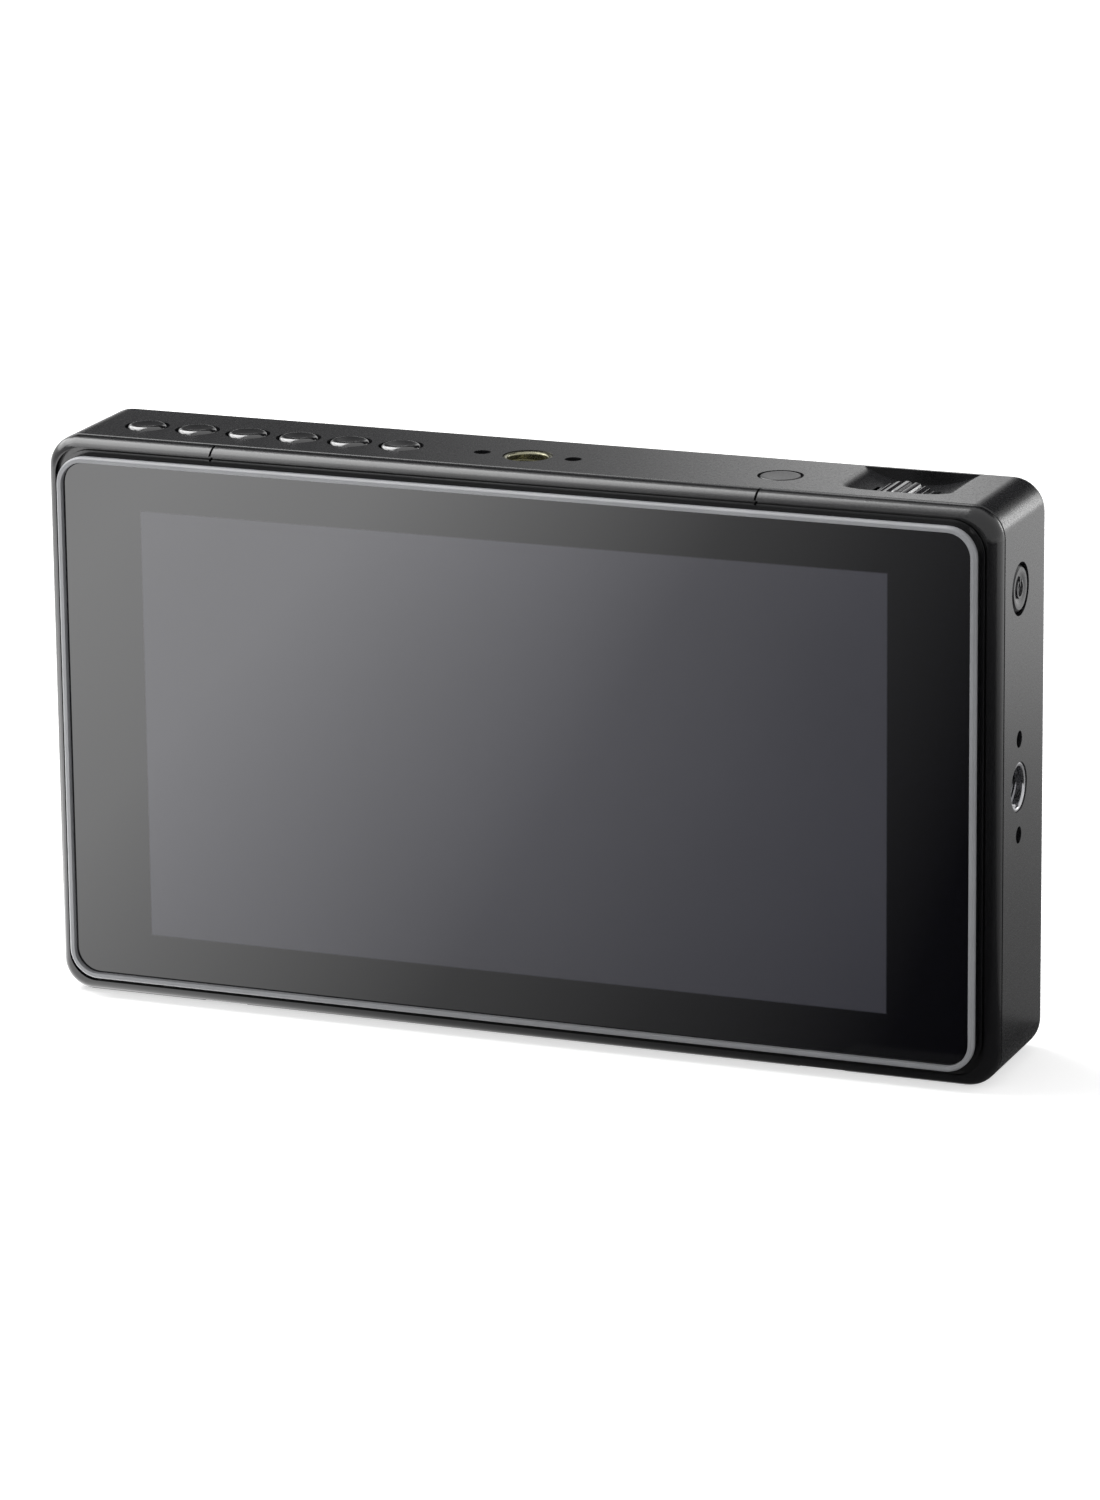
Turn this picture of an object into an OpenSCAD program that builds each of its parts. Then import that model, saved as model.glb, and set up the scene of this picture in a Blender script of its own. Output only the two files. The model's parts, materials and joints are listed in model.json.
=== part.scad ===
// Camera field monitor: a metal tub closed by a black front frame that holds the cover glass and
// the display, with round keys, a thumb wheel and threaded inserts in its edges and a battery
// plate on its back. Sizes are in millimetres. X runs to the right, Y from front to back, Z up.
// Depths (names that end in _depth) are measured backwards from the face of the cover glass.

/* [Body] */
// Width of the body
body_w = 154; // [150:0.5:170]
// Height of the body
body_h = 89; // [86:0.2:100]
// Depth from the glass face to the back face
body_depth = 26; // [25.6:0.1:29]
// Radius of the body's four corners seen from the front
corner_r = 5; // [4:0.25:7]
// Radius of the edge round the back
rear_edge_r = 3; // [1:0.25:3.5]
// Thickness of the housing's side walls
wall = 2; // [1.6:0.1:2.2]
// Thickness of the housing's rear flange
flange_t = 3.5; // [3:0.1:4]
// Depth of the parting line between front frame and housing
parting_depth = 4.4; // [4:0.1:4.8]
// Leg of the small chamfers that form the parting line's groove
parting_chamfer = 0.25; // [0.1:0.05:0.4]

/* [Front] */
// Width of the black frame at each side of the glass
frame_w = 3.75; // [3.5:0.05:5]
// Height of the black frame above and below the glass, before the glass is raised
frame_h = 3.7; // [3.4:0.05:5]
// How far the middle of the glass lies above the middle of the body
glass_rise = 0.3; // [0:0.1:0.5]
// Corner radius of the cover glass
glass_r = 3.6; // [2:0.1:4.5]
// Thickness of the cover glass
glass_t = 1.1; // [0.7:0.1:1.1]
// Width of the black border at each side of the picture area
border_w = 12.77; // [9:0.01:18]
// Height of the black border above and below the picture area
border_h = 6.78; // [5.5:0.01:12]
// Dead border of the display panel round the picture area
panel_border = 2; // [1:0.1:3]
// Thickness of the display panel
panel_t = 1.4; // [1:0.1:1.4]
// How far the bezel rim stands out in front of the glass
rim_proud = 0.8; // [0.3:0.05:1]
// Width of the bezel rim
rim_w = 0.85; // [0.6:0.05:1]
// Width of the low step round the bezel wall
step_w = 0.6; // [0.4:0.05:0.7]
// Width of the dark groove between step and outer band
groove_w = 0.45; // [0.3:0.05:0.5]
// Height of the outer band's crown in front of the parting line
band_rise = 3.1; // [2.4:0.1:3.3]
// Distance in from the body's edge over which the outer band curves
band_w = 2.1; // [1.5:0.1:2.2]
// Distance of each sun hood clip notch, and of the left clip seam, from the middle
clip_x = 49.2; // [40:0.2:55]
// Distance of the right clip seam from the middle, between assign button and middle
right_seam_x = 39.1; // [30:0.1:45]
// Length of the clip notches in the bottom edge
clip_notch_l = 7.5; // [5:0.1:9]
// Depth of the clip notches in the bottom edge
clip_notch_t = 0.5; // [0.3:0.05:0.7]
// Width of the clip seams in the top band
clip_seam_w = 0.35; // [0.2:0.05:0.5]

/* [Keys] */
// Depth of the line on which the top's keys and wheel and the threads above and below are centred
key_line_depth = 12.8; // [12.4:0.1:13.6]
// Depth of the line on which the right side's power button and thread are centred
side_line_depth = 11.9; // [11.8:0.1:12.8]
// Distance of the first menu button from the left side
first_button_in = 12.2; // [12:0.1:13]
// Pitch of the menu buttons
button_pitch = 8.5; // [8.3:0.05:8.6]
// Radius of a top button's cap
button_r = 3.1; // [2.6:0.05:3.2]
// Distance of the assign button from the thumb wheel
assign_from_wheel = 19; // [18.5:0.1:22]
// Radius of the power button's cap
power_r = 3.65; // [3.2:0.05:3.9]
// Distance of the power button below the top face
power_drop = 14.1; // [14:0.1:16]
// Gap round a button's cap
button_gap = 0.4; // [0.3:0.05:0.5]
// How far a button stands out of its face
button_proud = 0.35; // [0:0.05:0.6]
// Travel of a button
button_travel = 0.6; // [0.3:0.05:0.6]

/* [Wheel] */
// Distance of the thumb wheel from the right side
wheel_in = 18.9; // [18:0.1:19.4]
// Radius of the thumb wheel
wheel_r = 7.5; // [6.5:0.1:7.8]
// Width of the thumb wheel
wheel_w = 7.4; // [6:0.1:7.6]
// How far the wheel's crown lies under the top face
wheel_sink = 0.1; // [0:0.05:0.5]
// Number of knurls on the wheel
knurls = 30; // [20:1:36]
// Radius of the wheel's axle
axle_r = 1.5; // [1.2:0.05:1.8]
// Radius of the thumb scoop's arc
scoop_r = 20; // [17:0.5:24]
// Depth of the thumb scoop
scoop_t = 2.2; // [1.6:0.1:2.3]

/* [Threads] */
// Radius of a tapped bore, cored for a quarter-inch camera screw
thread_r = 2.55; // [2.4:0.05:2.6]
// Outer radius of a thread insert
insert_r = 3.8; // [3.6:0.1:4.2]
// Distance of the top thread to the left of the middle
top_thread_off = 1.5; // [0:0.1:4]
// Length of a thread insert
insert_l = 6.5; // [5:0.1:6.8]
// Distance of each locating hole from the thread's axis
locating_pitch = 7.4; // [7.3:0.05:7.6]
// Radius of a locating hole
locating_r = 1.3; // [1.2:0.05:1.6]
// Depth of a locating hole
locating_depth = 3.5; // [2.5:0.1:4]

/* [Back] */
// Distance of the back cover's edge from the body's edge
cover_margin = 8; // [7.5:0.1:8.4]
// Thickness of the back cover
cover_t = 1.8; // [1.6:0.1:2]
// Width of the battery plate's core
plate_w = 38; // [36:0.2:38.4]
// Height of the battery plate
plate_h = 70; // [66:0.5:70]
// Thickness of the battery plate
plate_t = 3; // [2.8:0.1:3.5]
// Width of a battery lip
lip_w = 2.8; // [2:0.1:3]
// Length of a battery lip
lip_l = 9; // [7:0.2:10]
// Thickness of a battery lip
lip_t = 1.2; // [1:0.1:1.4]
// Travel of the battery latch, which takes its nib below the battery plate's face
latch_travel = 2; // [1.6:0.1:2.2]

/* [Sockets] */
// Height of the video input socket above the body's foot
video_in_z = 52.8; // [52.6:0.1:53.2]
// Height of the video output socket above the body's foot
video_out_z = 36.3; // [36:0.1:36.5]
// Height of the data socket above the body's foot
data_z = 22.7; // [22.4:0.1:22.9]
// Height of the power jack above the body's foot
jack_z = 13.4; // [13.2:0.1:13.8]
// Height of the headphone jack above the body's foot
phones_z = 64.8; // [64.5:0.1:66]
// Radius of the headphone jack's bore
phones_r = 1.8; // [1.77:0.01:1.85]

/* [Hidden] */
$fn = 64;

// Clearances
slip = 0.1;        // between parts that drop into each other
mover_gap = 0.3;   // between a moving part and what it must not touch
axle_gap = 0.06;   // running clearance of the wheel's axle
seat_gap = 0.03;   // glue line round a thread insert
thread_gap = 0.05; // between a screw's shank and its pilot hole
hole_gap = 0.2;    // between a screw's shank and a plain hole
cut = 1;           // how far a cutting shape runs past the face that it opens

// Latch and overall depth
pad_proud = 0.5;
nib_sink = 0.8;
nib_proud = latch_travel - nib_sink;
plate_face_depth = body_depth + plate_t;
total_depth = rim_proud + plate_face_depth + nib_proud;
glass_y = rim_proud - total_depth / 2;
key_y = glass_y + key_line_depth;
side_y = glass_y + side_line_depth;
mid_z = body_h / 2;
glass_z = mid_z + glass_rise;
first_button_x = body_w / 2 - first_button_in;
wheel_x = body_w / 2 - wheel_in;
assign_x = wheel_x - assign_from_wheel;
power_z = body_h - power_drop;
glass_w = body_w - 2 * frame_w;
glass_h = body_h - 2 * frame_h;
screen_w = glass_w - 2 * border_w;
screen_h = glass_h - 2 * border_h;

// Front stack, as depths
gasket_t = 0.3;
gasket_w = 2;
glass_gap = 0.1;
ledge_depth = glass_t + gasket_t;
ledge_t = 1;
ledge_w = 2.1;
bezel_depth = 0.35;
step_depth = 1.7;
groove_depth = 2.3;
panel_w = screen_w + 2 * panel_border;
panel_h = screen_h + 2 * panel_border;
tray_wall = 0.7;
tray_depth = glass_t + panel_t;
tray_t = 2.4;
ribbon_t = 0.3;
chassis_depth = tray_depth + tray_t + ribbon_t;
chassis_t = 1;
skirt_t = 1.2;

// Inside of the housing, as depths and half widths
inner_w = body_w - 2 * wall;
inner_h = body_h - 2 * wall;
flange_depth = body_depth - flange_t;
cover_w = body_w - 2 * cover_margin;
cover_h = body_h - 2 * cover_margin;
cover_r = 3;
cover_depth = body_depth - cover_t;
ledge_back_w = 4.4;

// Sockets
socket_l = 12;
phones_l = 14;
socket_sink = 0.2;
socket_x = -body_w / 2 + socket_sink;
video_w = 15;
video_t = 6;
data_w = 9.2;
data_t = 3.6;
jack_r = 3.2;
phones_body_r = 3;

// Boards
board_t = 1.4;
board_room = 8;
board_depth = body_depth - board_room;
board_left = -inner_w / 2 + 1;
bracket_half = 9.6;
tab_l = 3.8;
board_right = wheel_x - bracket_half - tab_l;
board_low = 10;
board_top_room = 13.2;
board_high = body_h - board_top_room;
post_r = 2.4;
post_gap = 0.9;
post_in = 4;
post_xs = [socket_x + phones_l + post_gap + post_r, board_right - post_in];
post_zs = [board_low + post_in, board_high - post_in];
key_board_t = 1.2;
key_board_drop = 9.2;
key_board_z = body_h - key_board_drop;
key_board_left = -first_button_x - 3.6;
key_board_right = assign_x + 4.2;
key_board_reach = 5.4;
key_board_over = 0.2;
power_board_w = 8.4;
hanger_r = 1.5;
hanger_back = 3.8;
hanger_mid_x = 14;
hanger_in = 8;
hangers = [[-first_button_x + 0.5 * button_pitch, -hanger_back],
  [-first_button_x + 4.5 * button_pitch, -hanger_back], [hanger_mid_x, 0], [assign_x - hanger_in, 0]];
switch_w = 4.4;
stub_r = 1.2;
stub_t = 0.6;

// Keys
menu_buttons = 6;
flange_gap = 0.3;
key_flange_t = 0.8;
key_flange_lip = 0.4;
key_stem_r = 1.6;
key_stem_end = 4.4;
key_bevel = 0.5;
assign_bevel = 0.2;
dish_r = 11;
menu_dish = 0.3;
press_gap = 0.2;
power_board_drop = 6.3;
power_board_t = 1;
power_stem_end = 3.6;
power_hanger = 6.3;

// Wheel
wheel_z = body_h - wheel_sink - wheel_r;
wheel_gap = 0.4;
knurl_r = 0.5;
wheel_chamfer = 0.5;
ear_t = 1;
pad_drop = 4.2;
pad_half = 13.9;
tab_t = 1;
tab_screw_x = 11.5;
scoop_reach = 4.7;
scoop_front_depth = key_line_depth - scoop_reach;
scoop_run = 3.5;
scoop_back_depth = body_depth - rear_edge_r - 0.2;
axle_end = 0.2;
encoder_t = 2.4;
encoder_w = 10;
encoder_l = 7;
encoder_eye_r = 1.5;

// Threads
insert_sink = 0.15;
insert_chamfer = 0.45;
boss_half = 5.4;
boss_long = 10;
boss_t = 6;

// Screws
screw_r = 0.95;
screw_head_r = 1.7;
screw_head_t = 0.8;
small_screw_r = 0.75;
small_head_r = 1.4;
small_head_t = 0.8;
tip_gap = 0.3;
head_sink = 0.1;

// Bosses of the chassis plate: three in corners, one on the right clear of the thumb wheel
chassis_boss_r = 2.8;
chassis_boss_x = body_w / 2 - 5.5;
chassis_boss_in = 6.6;
chassis_boss_side = 29.2;
chassis_fixings = [[-chassis_boss_x, chassis_boss_in], [chassis_boss_x, chassis_boss_in],
  [-chassis_boss_x, body_h - chassis_boss_in], [chassis_boss_x, body_h - chassis_boss_side]];

// Latch and contacts
latch_w = 12;
latch_h = 7.4;
latch_low = 16;
latch_flange_t = 0.9;
latch_z = latch_low + latch_h / 2;
plate_screw_x = 15;
plate_screw_rise = 29;
contact_rise = 27.9;
contact_z = mid_z + contact_rise;
contact_block_w = 18;
contact_block_h = 6;
contact_block_t = 2;

// y of a depth behind the glass face
function at_depth(depth) = glass_y + depth;

// ---------- building blocks ----------

// Rectangle with round corners, centred
module rounded_rect(w, h, r) {
  square([w - 2 * r, h], center = true);
  square([w, h - 2 * r], center = true);
  for (sx = [-1, 1])
    for (sz = [-1, 1])
      translate([sx * (w / 2 - r), sz * (h / 2 - r)]) circle(r);
}

// Upright plate with round corners between two depths
module slab(w, h, r, from_depth, to_depth, x = 0, z = mid_z) {
  translate([x, at_depth(to_depth), z])
    rotate([90, 0, 0])
      linear_extrude(to_depth - from_depth)
        rounded_rect(w, h, r);
}

// Upright plate that is centred on the glass
module glass_slab(w, h, r, from_depth, to_depth) {
  slab(w, h, r, from_depth, to_depth, 0, glass_z);
}

// Box between two depths
module box(x0, x1, from_depth, to_depth, z0, z1) {
  translate([x0, at_depth(from_depth), z0]) cube([x1 - x0, to_depth - from_depth, z1 - z0]);
}

// Cylinder along Y between two depths
module rod_y(r, from_depth, to_depth, x, z) {
  translate([x, at_depth(to_depth), z]) rotate([90, 0, 0]) cylinder(h = to_depth - from_depth, r = r);
}

// Cylinder upwards from z0 to z1
module rod_z(r, x, y, z0, z1) {
  translate([x, y, z0]) cylinder(h = z1 - z0, r = r);
}

// Cylinder along X from x0 to x1
module rod_x(r, x0, x1, y, z) {
  translate([x0, y, z]) rotate([0, 90, 0]) cylinder(h = x1 - x0, r = r);
}

// Points of a profile that is symmetric about its axis: edge is a list of [inset, depth]
function mirrored_profile(half, edge) = concat(
  [for (e = edge) [half - e[0], e[1]]],
  [for (i = [len(edge) - 1:-1:0]) [edge[i][0] - half, edge[i][1]]]);

// Points of a profile from the axis out to a radius
function turned_profile(radius, edge) = concat(
  [[0, edge[0][1]]],
  [for (e = edge) [radius - e[0], e[1]]],
  [[0, edge[len(edge) - 1][1]]]);

// Block with round corners whose edge profile runs all the way round it: one extrusion up the
// height, one across the width and four turned corners, all of them true surfaces
module edged_block(w, h, r, edge, z = mid_z) {
  translate([0, glass_y, z - h / 2 + r])
    linear_extrude(h - 2 * r)
      polygon(mirrored_profile(w / 2, edge));
  translate([0, glass_y, z])
    rotate([0, -90, 0])
      linear_extrude(w - 2 * r, center = true)
        polygon(mirrored_profile(h / 2, edge));
  for (sx = [-1, 1])
    for (sz = [-1, 1])
      translate([sx * (w / 2 - r), glass_y, z + sz * (h / 2 - r)])
        rotate([-90, 0, 0])
          rotate_extrude()
            polygon(turned_profile(r, edge));
}

// Screw along +Z with its head's top at z = 0 and a hexagonal socket in it
module screw(head_r, head_t, shank_r, length) {
  difference() {
    union() {
      translate([0, 0, -head_t]) cylinder(h = head_t, r = head_r);
      translate([0, 0, -length]) cylinder(h = length - head_t / 2, r = shank_r);
    }
    translate([0, 0, -head_t * 0.6]) cylinder(h = head_t, r = head_r * 0.5, $fn = 6);
  }
}

// Moves its children, drawn along +Z at the origin, to a place on the top, right, bottom, back
// or front side, so that +Z points out of that side
module on_top(x, depth = key_line_depth, drop = 0) {
  translate([x, at_depth(depth), body_h - drop]) children();
}
module on_right(z, depth = side_line_depth, drop = 0) {
  translate([body_w / 2 - drop, at_depth(depth), z]) rotate([0, 90, 0]) children();
}
module on_bottom(x, depth = key_line_depth, drop = 0) {
  translate([x, at_depth(depth), drop]) rotate([180, 0, 0]) children();
}
module facing_back(x, depth, z) {
  translate([x, at_depth(depth), z]) rotate([-90, 0, 0]) children();
}
module facing_front(x, depth, z) {
  translate([x, at_depth(depth), z]) rotate([90, 0, 0]) children();
}

// x of menu button number i, counted from the left
function button_x(i) = -first_button_x + (i - 1) * button_pitch;
top_key_xs = concat([for (i = [1:menu_buttons]) button_x(i)], [assign_x]);

// ---------- housing ----------

housing_edge = concat(
  [[parting_chamfer, parting_depth], [0, parting_depth + parting_chamfer]],
  [for (a = [0:9:90]) [rear_edge_r * (1 - cos(a)), body_depth - rear_edge_r * (1 - sin(a))]]);

// Boss inside a wall that carries a thread insert and its two locating holes, along +Z
module thread_boss() {
  translate([-boss_long, -boss_half, -wall - boss_t])
    cube([2 * boss_long, 2 * boss_half, boss_t + wall / 2]);
}

// Seat of an insert and its locating holes, cut along +Z
module thread_cuts() {
  translate([0, 0, -insert_sink - insert_l]) cylinder(h = insert_l + cut, r = insert_r + seat_gap);
  for (s = [-1, 1])
    translate([s * locating_pitch, 0, -locating_depth])
      cylinder(h = locating_depth + cut, r = locating_r);
}

// Thumb scoop: a turned arc that starts at the top face and runs back to a plain wall
scoop_axis_z = body_h + scoop_r - scoop_t;
scoop_profile = concat(
  [[0, scoop_front_depth]],
  [for (a = [0:10:90]) [scoop_r - scoop_t * (1 - sin(a)), scoop_front_depth + scoop_run * (1 - cos(a))]],
  [[scoop_r, scoop_back_depth], [0, scoop_back_depth]]);
module thumb_scoop() {
  translate([wheel_x, glass_y, scoop_axis_z])
    rotate([-90, 0, 0])
      rotate_extrude($fn = 180)
        polygon(scoop_profile);
}

// Window in the left wall for a socket, with round corners
module socket_window(z, w, t, depth) {
  translate([-body_w / 2 - cut, at_depth(depth), z])
    rotate([90, 0, 90])
      linear_extrude(wall + 2 * cut)
        rounded_rect(t + 2 * mover_gap, w + 2 * mover_gap, 0.8);
}

module housing_solid() {
  difference() {
    edged_block(body_w, body_h, corner_r, housing_edge);
    slab(inner_w, inner_h, corner_r - wall, parting_depth - cut, flange_depth);
    slab(cover_w - 2 * ledge_back_w, cover_h - 2 * ledge_back_w, cover_r, flange_depth - cut,
      body_depth + cut);
    slab(cover_w + 2 * slip, cover_h + 2 * slip, cover_r + slip, cover_depth, body_depth + cut);
  }
  // bosses for the thread inserts
  on_top(-top_thread_off) thread_boss();
  on_bottom(0) thread_boss();
  on_right(mid_z) thread_boss();
  // thick pad under the thumb scoop
  box(wheel_x - pad_half, wheel_x + pad_half, chassis_depth + chassis_t + mover_gap,
    flange_depth + cut, body_h - pad_drop, body_h - wall / 2);
  // hangers that carry the key board and the power board
  for (p = hangers)
    rod_z(hanger_r, p[0], key_y + p[1], key_board_z, body_h - wall / 2);
  for (s = [-1, 1])
    rod_x(hanger_r, body_w / 2 - power_board_drop, body_w / 2 - wall / 2, side_y,
      power_z + s * power_hanger);
  // bosses for the chassis plate
  for (p = chassis_fixings)
    rod_y(chassis_boss_r, chassis_depth + chassis_t, flange_depth + cut, p[0], p[1]);
}

module main_housing() {
  color([0.16, 0.16, 0.17])
    difference() {
      housing_solid();
      on_top(-top_thread_off) thread_cuts();
      on_bottom(0) thread_cuts();
      on_right(mid_z) thread_cuts();
      // holes of the buttons
      for (x = top_key_xs)
        on_top(x) translate([0, 0, -wall - cut]) cylinder(h = wall + 2 * cut, r = button_r + button_gap);
      on_right(power_z)
        translate([0, 0, -wall - cut]) cylinder(h = wall + 2 * cut, r = power_r + button_gap);
      // thumb scoop, and the wheel's pocket round its axle
      thumb_scoop();
      rod_y(wheel_r + wheel_gap, key_line_depth - wheel_w / 2 - wheel_gap,
        key_line_depth + wheel_w / 2 + wheel_gap, wheel_x, wheel_z);
      // windows of the sockets
      socket_window(video_in_z, video_w, video_t, board_depth - video_t / 2);
      socket_window(video_out_z, video_w, video_t, board_depth - video_t / 2);
      socket_window(data_z, data_w, data_t, board_depth - data_t / 2);
      rod_x(jack_r + mover_gap, -body_w / 2 - cut, -inner_w / 2 + cut, at_depth(board_depth - jack_r),
        jack_z);
      rod_x(phones_body_r + mover_gap, -body_w / 2 - cut, -inner_w / 2 + cut,
        at_depth(board_depth - phones_body_r), phones_z);
      // pilot holes
      for (x = cover_screw_xs)
        for (z = cover_screw_zs)
          rod_y(screw_r + thread_gap, flange_depth - cut, body_depth, x, z);
      for (p = chassis_fixings)
        rod_y(screw_r + thread_gap, chassis_depth, chassis_depth + chassis_t + chassis_screw_l, p[0], p[1]);
      for (p = hangers)
        rod_z(small_screw_r + thread_gap, p[0], key_y + p[1], key_board_z - cut,
          key_board_z + hanger_screw_l);
      for (s = [-1, 1])
        rod_x(small_screw_r + thread_gap, body_w / 2 - power_board_drop - cut,
          body_w / 2 - power_board_drop + power_screw_l, side_y, power_z + s * power_hanger);
      for (s = [-1, 1])
        rod_z(small_screw_r + thread_gap, wheel_x + s * tab_screw_x, key_y, body_h - pad_drop - cut,
          body_h - pad_drop + tab_screw_l);
    }
}

cover_screw_in = 2.2;
cover_screw_xs = [-cover_w / 2 + cover_screw_in, cover_w / 2 - cover_screw_in];
cover_screw_zs = [mid_z - cover_h / 2 + cover_screw_in, mid_z, mid_z + cover_h / 2 - cover_screw_in];
cover_screw_l = 3.1;
chassis_screw_l = 4;
hanger_screw_l = 4;
power_screw_l = 3;
tab_screw_l = 1.5;

// ---------- front ----------

bezel_out = glass_gap + rim_w;
step_out = bezel_out + step_w;
groove_out = step_out + groove_w;
band_edge = concat(
  [for (a = [90:-9:0]) [band_w * (1 - cos(a)), parting_depth - parting_chamfer
    - (band_rise - parting_chamfer) * sin(a)]],
  [[parting_chamfer, parting_depth]]);

module front_frame() {
  color([0.05, 0.05, 0.055])
    difference() {
      union() {
        // outer band, open inside the groove
        difference() {
          edged_block(body_w, body_h, corner_r, band_edge);
          glass_slab(glass_w + 2 * groove_out, glass_h + 2 * groove_out, glass_r + groove_out * 0.5,
            -cut, parting_depth + cut);
        }
        slab(body_w - band_w / 2, body_h - band_w / 2, corner_r - band_w / 4, groove_depth, parting_depth);
        glass_slab(glass_w + 2 * step_out, glass_h + 2 * step_out, glass_r + step_out, step_depth,
          parting_depth);
        glass_slab(glass_w + 2 * bezel_out, glass_h + 2 * bezel_out, glass_r + bezel_out, bezel_depth,
          parting_depth);
        // skirt inside the housing's walls, down to the chassis plate
        slab(inner_w - 2 * slip, inner_h - 2 * slip, corner_r - wall - slip, parting_depth, chassis_depth);
      }
      // pocket of the glass, ledge under its edge, and the room behind it
      glass_slab(glass_w + 2 * glass_gap, glass_h + 2 * glass_gap, glass_r + glass_gap, -cut, ledge_depth);
      glass_slab(glass_w - 2 * ledge_w, glass_h - 2 * ledge_w, glass_r / 2, -cut,
        ledge_depth + ledge_t + cut);
      slab(inner_w - 2 * slip - 2 * skirt_t, inner_h - 2 * slip - 2 * skirt_t, 1, ledge_depth + ledge_t,
        chassis_depth + cut);
      // clip seams in the top band and clip notches in the bottom edge
      for (x = [-clip_x, right_seam_x])
        box(x - clip_seam_w / 2, x + clip_seam_w / 2, 0, parting_depth - parting_chamfer,
          body_h - band_w, body_h + cut);
      for (x = [-clip_x, clip_x])
        box(x - clip_notch_l / 2, x + clip_notch_l / 2, 0, parting_depth - parting_chamfer,
          -cut, clip_notch_t);
    }
}

module bezel_rim() {
  rim_chamfer = 0.3;
  color([0.62, 0.62, 0.63])
    difference() {
      edged_block(glass_w + 2 * bezel_out, glass_h + 2 * bezel_out, glass_r + bezel_out,
        [[rim_chamfer, -rim_proud], [0, rim_chamfer - rim_proud], [0, bezel_depth]], glass_z);
      glass_slab(glass_w + 2 * glass_gap, glass_h + 2 * glass_gap, glass_r + glass_gap, -rim_proud - cut,
        bezel_depth + cut);
    }
}

module cover_glass() {
  color([0.08, 0.08, 0.09])
    glass_slab(glass_w, glass_h, glass_r, 0, glass_t);
}

module glass_gasket() {
  color([0.1, 0.1, 0.1])
    difference() {
      glass_slab(glass_w, glass_h, glass_r, glass_t, glass_t + gasket_t);
      glass_slab(glass_w - 2 * gasket_w, glass_h - 2 * gasket_w, glass_r / 2, glass_t - cut,
        glass_t + gasket_t + cut);
    }
}

module display_panel() {
  color([0.13, 0.13, 0.16])
    glass_slab(panel_w, panel_h, 0.5, glass_t, tray_depth);
}

module backlight_tray() {
  color([0.75, 0.76, 0.78])
    glass_slab(panel_w + 2 * tray_wall, panel_h + 2 * tray_wall, 0.8, tray_depth, tray_depth + tray_t);
}

// ---------- chassis and boards ----------

ribbon_w = 20;
ribbon_in = 26;
ribbon_x = board_right - ribbon_in;
ribbon_top = 34;
ribbon_turn = 28;
ribbon_low = 23;

module chassis_plate() {
  color([0.7, 0.71, 0.72])
    difference() {
      union() {
        slab(inner_w - 2 * slip, inner_h - 2 * slip, corner_r - wall - slip, chassis_depth,
          chassis_depth + chassis_t);
        for (x = post_xs)
          for (z = post_zs)
            rod_y(post_r, chassis_depth + chassis_t / 2, board_depth, x, z);
      }
      for (p = chassis_fixings)
        rod_y(screw_r + hole_gap, chassis_depth - cut, chassis_depth + chassis_t + cut, p[0], p[1]);
      for (x = post_xs)
        for (z = post_zs)
          rod_y(screw_r + thread_gap, board_depth - post_screw_l, board_depth + cut, x, z);
      // slot for the display ribbon
      box(ribbon_x - ribbon_w / 2 - mover_gap, ribbon_x + ribbon_w / 2 + mover_gap, chassis_depth - cut,
        chassis_depth + chassis_t + cut, ribbon_turn - ribbon_t - mover_gap, ribbon_turn + mover_gap);
    }
}

module chassis_screws() {
  color([0.55, 0.55, 0.57])
    for (p = chassis_fixings)
      facing_front(p[0], chassis_depth - screw_head_t, p[1])
        screw(screw_head_r, screw_head_t, screw_r, screw_head_t + chassis_t + chassis_screw_l - tip_gap);
}

post_screw_l = 4;

module mainboard() {
  color([0.05, 0.25, 0.15])
    difference() {
      box(board_left, board_right, board_depth, board_depth + board_t, board_low, board_high);
      for (x = post_xs)
        for (z = post_zs)
          rod_y(screw_r + hole_gap, board_depth - cut, board_depth + board_t + cut, x, z);
    }
}

module board_screws() {
  color([0.55, 0.55, 0.57])
    for (x = post_xs)
      for (z = post_zs)
        facing_back(x, board_depth + board_t + screw_head_t, z)
          screw(screw_head_r, screw_head_t, screw_r, screw_head_t + board_t + post_screw_l - tip_gap);
}

chip_w = 18;
chip_t = 1.2;
chip_in = 37.5;
chip_rise = 4.4;
chip_x = board_left + chip_in;
chip_z = mid_z + chip_rise;
spreader_w = 28;

module processor() {
  color([0.08, 0.08, 0.08])
    box(chip_x - chip_w / 2, chip_x + chip_w / 2, board_depth + board_t, board_depth + board_t + chip_t,
      chip_z - chip_w / 2, chip_z + chip_w / 2);
}

module heat_spreader() {
  fin_t = 1;
  fin_gap = 2;
  base_depth = board_depth + board_t + chip_t;
  color([0.6, 0.61, 0.62])
    difference() {
      box(chip_x - spreader_w / 2, chip_x + spreader_w / 2, base_depth, cover_depth,
        chip_z - spreader_w / 2, chip_z + spreader_w / 2);
      for (x = [chip_x - spreader_w / 2 + fin_t:fin_t + fin_gap:chip_x + spreader_w / 2 - fin_t - fin_gap])
        box(x, x + fin_gap, base_depth + 1, cover_depth - 1, chip_z - spreader_w / 2 - cut,
          chip_z + spreader_w / 2 + cut);
    }
}

module display_ribbon() {
  x0 = ribbon_x - ribbon_w / 2;
  x1 = ribbon_x + ribbon_w / 2;
  tray_back = tray_depth + tray_t;
  color([0.75, 0.5, 0.15]) {
    box(x0, x1, tray_back, tray_back + ribbon_t, ribbon_turn - ribbon_t, ribbon_top);
    box(x0, x1, tray_back, board_depth, ribbon_turn - ribbon_t, ribbon_turn);
    box(x0, x1, board_depth - ribbon_t, board_depth, ribbon_low, ribbon_turn);
  }
}

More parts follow.
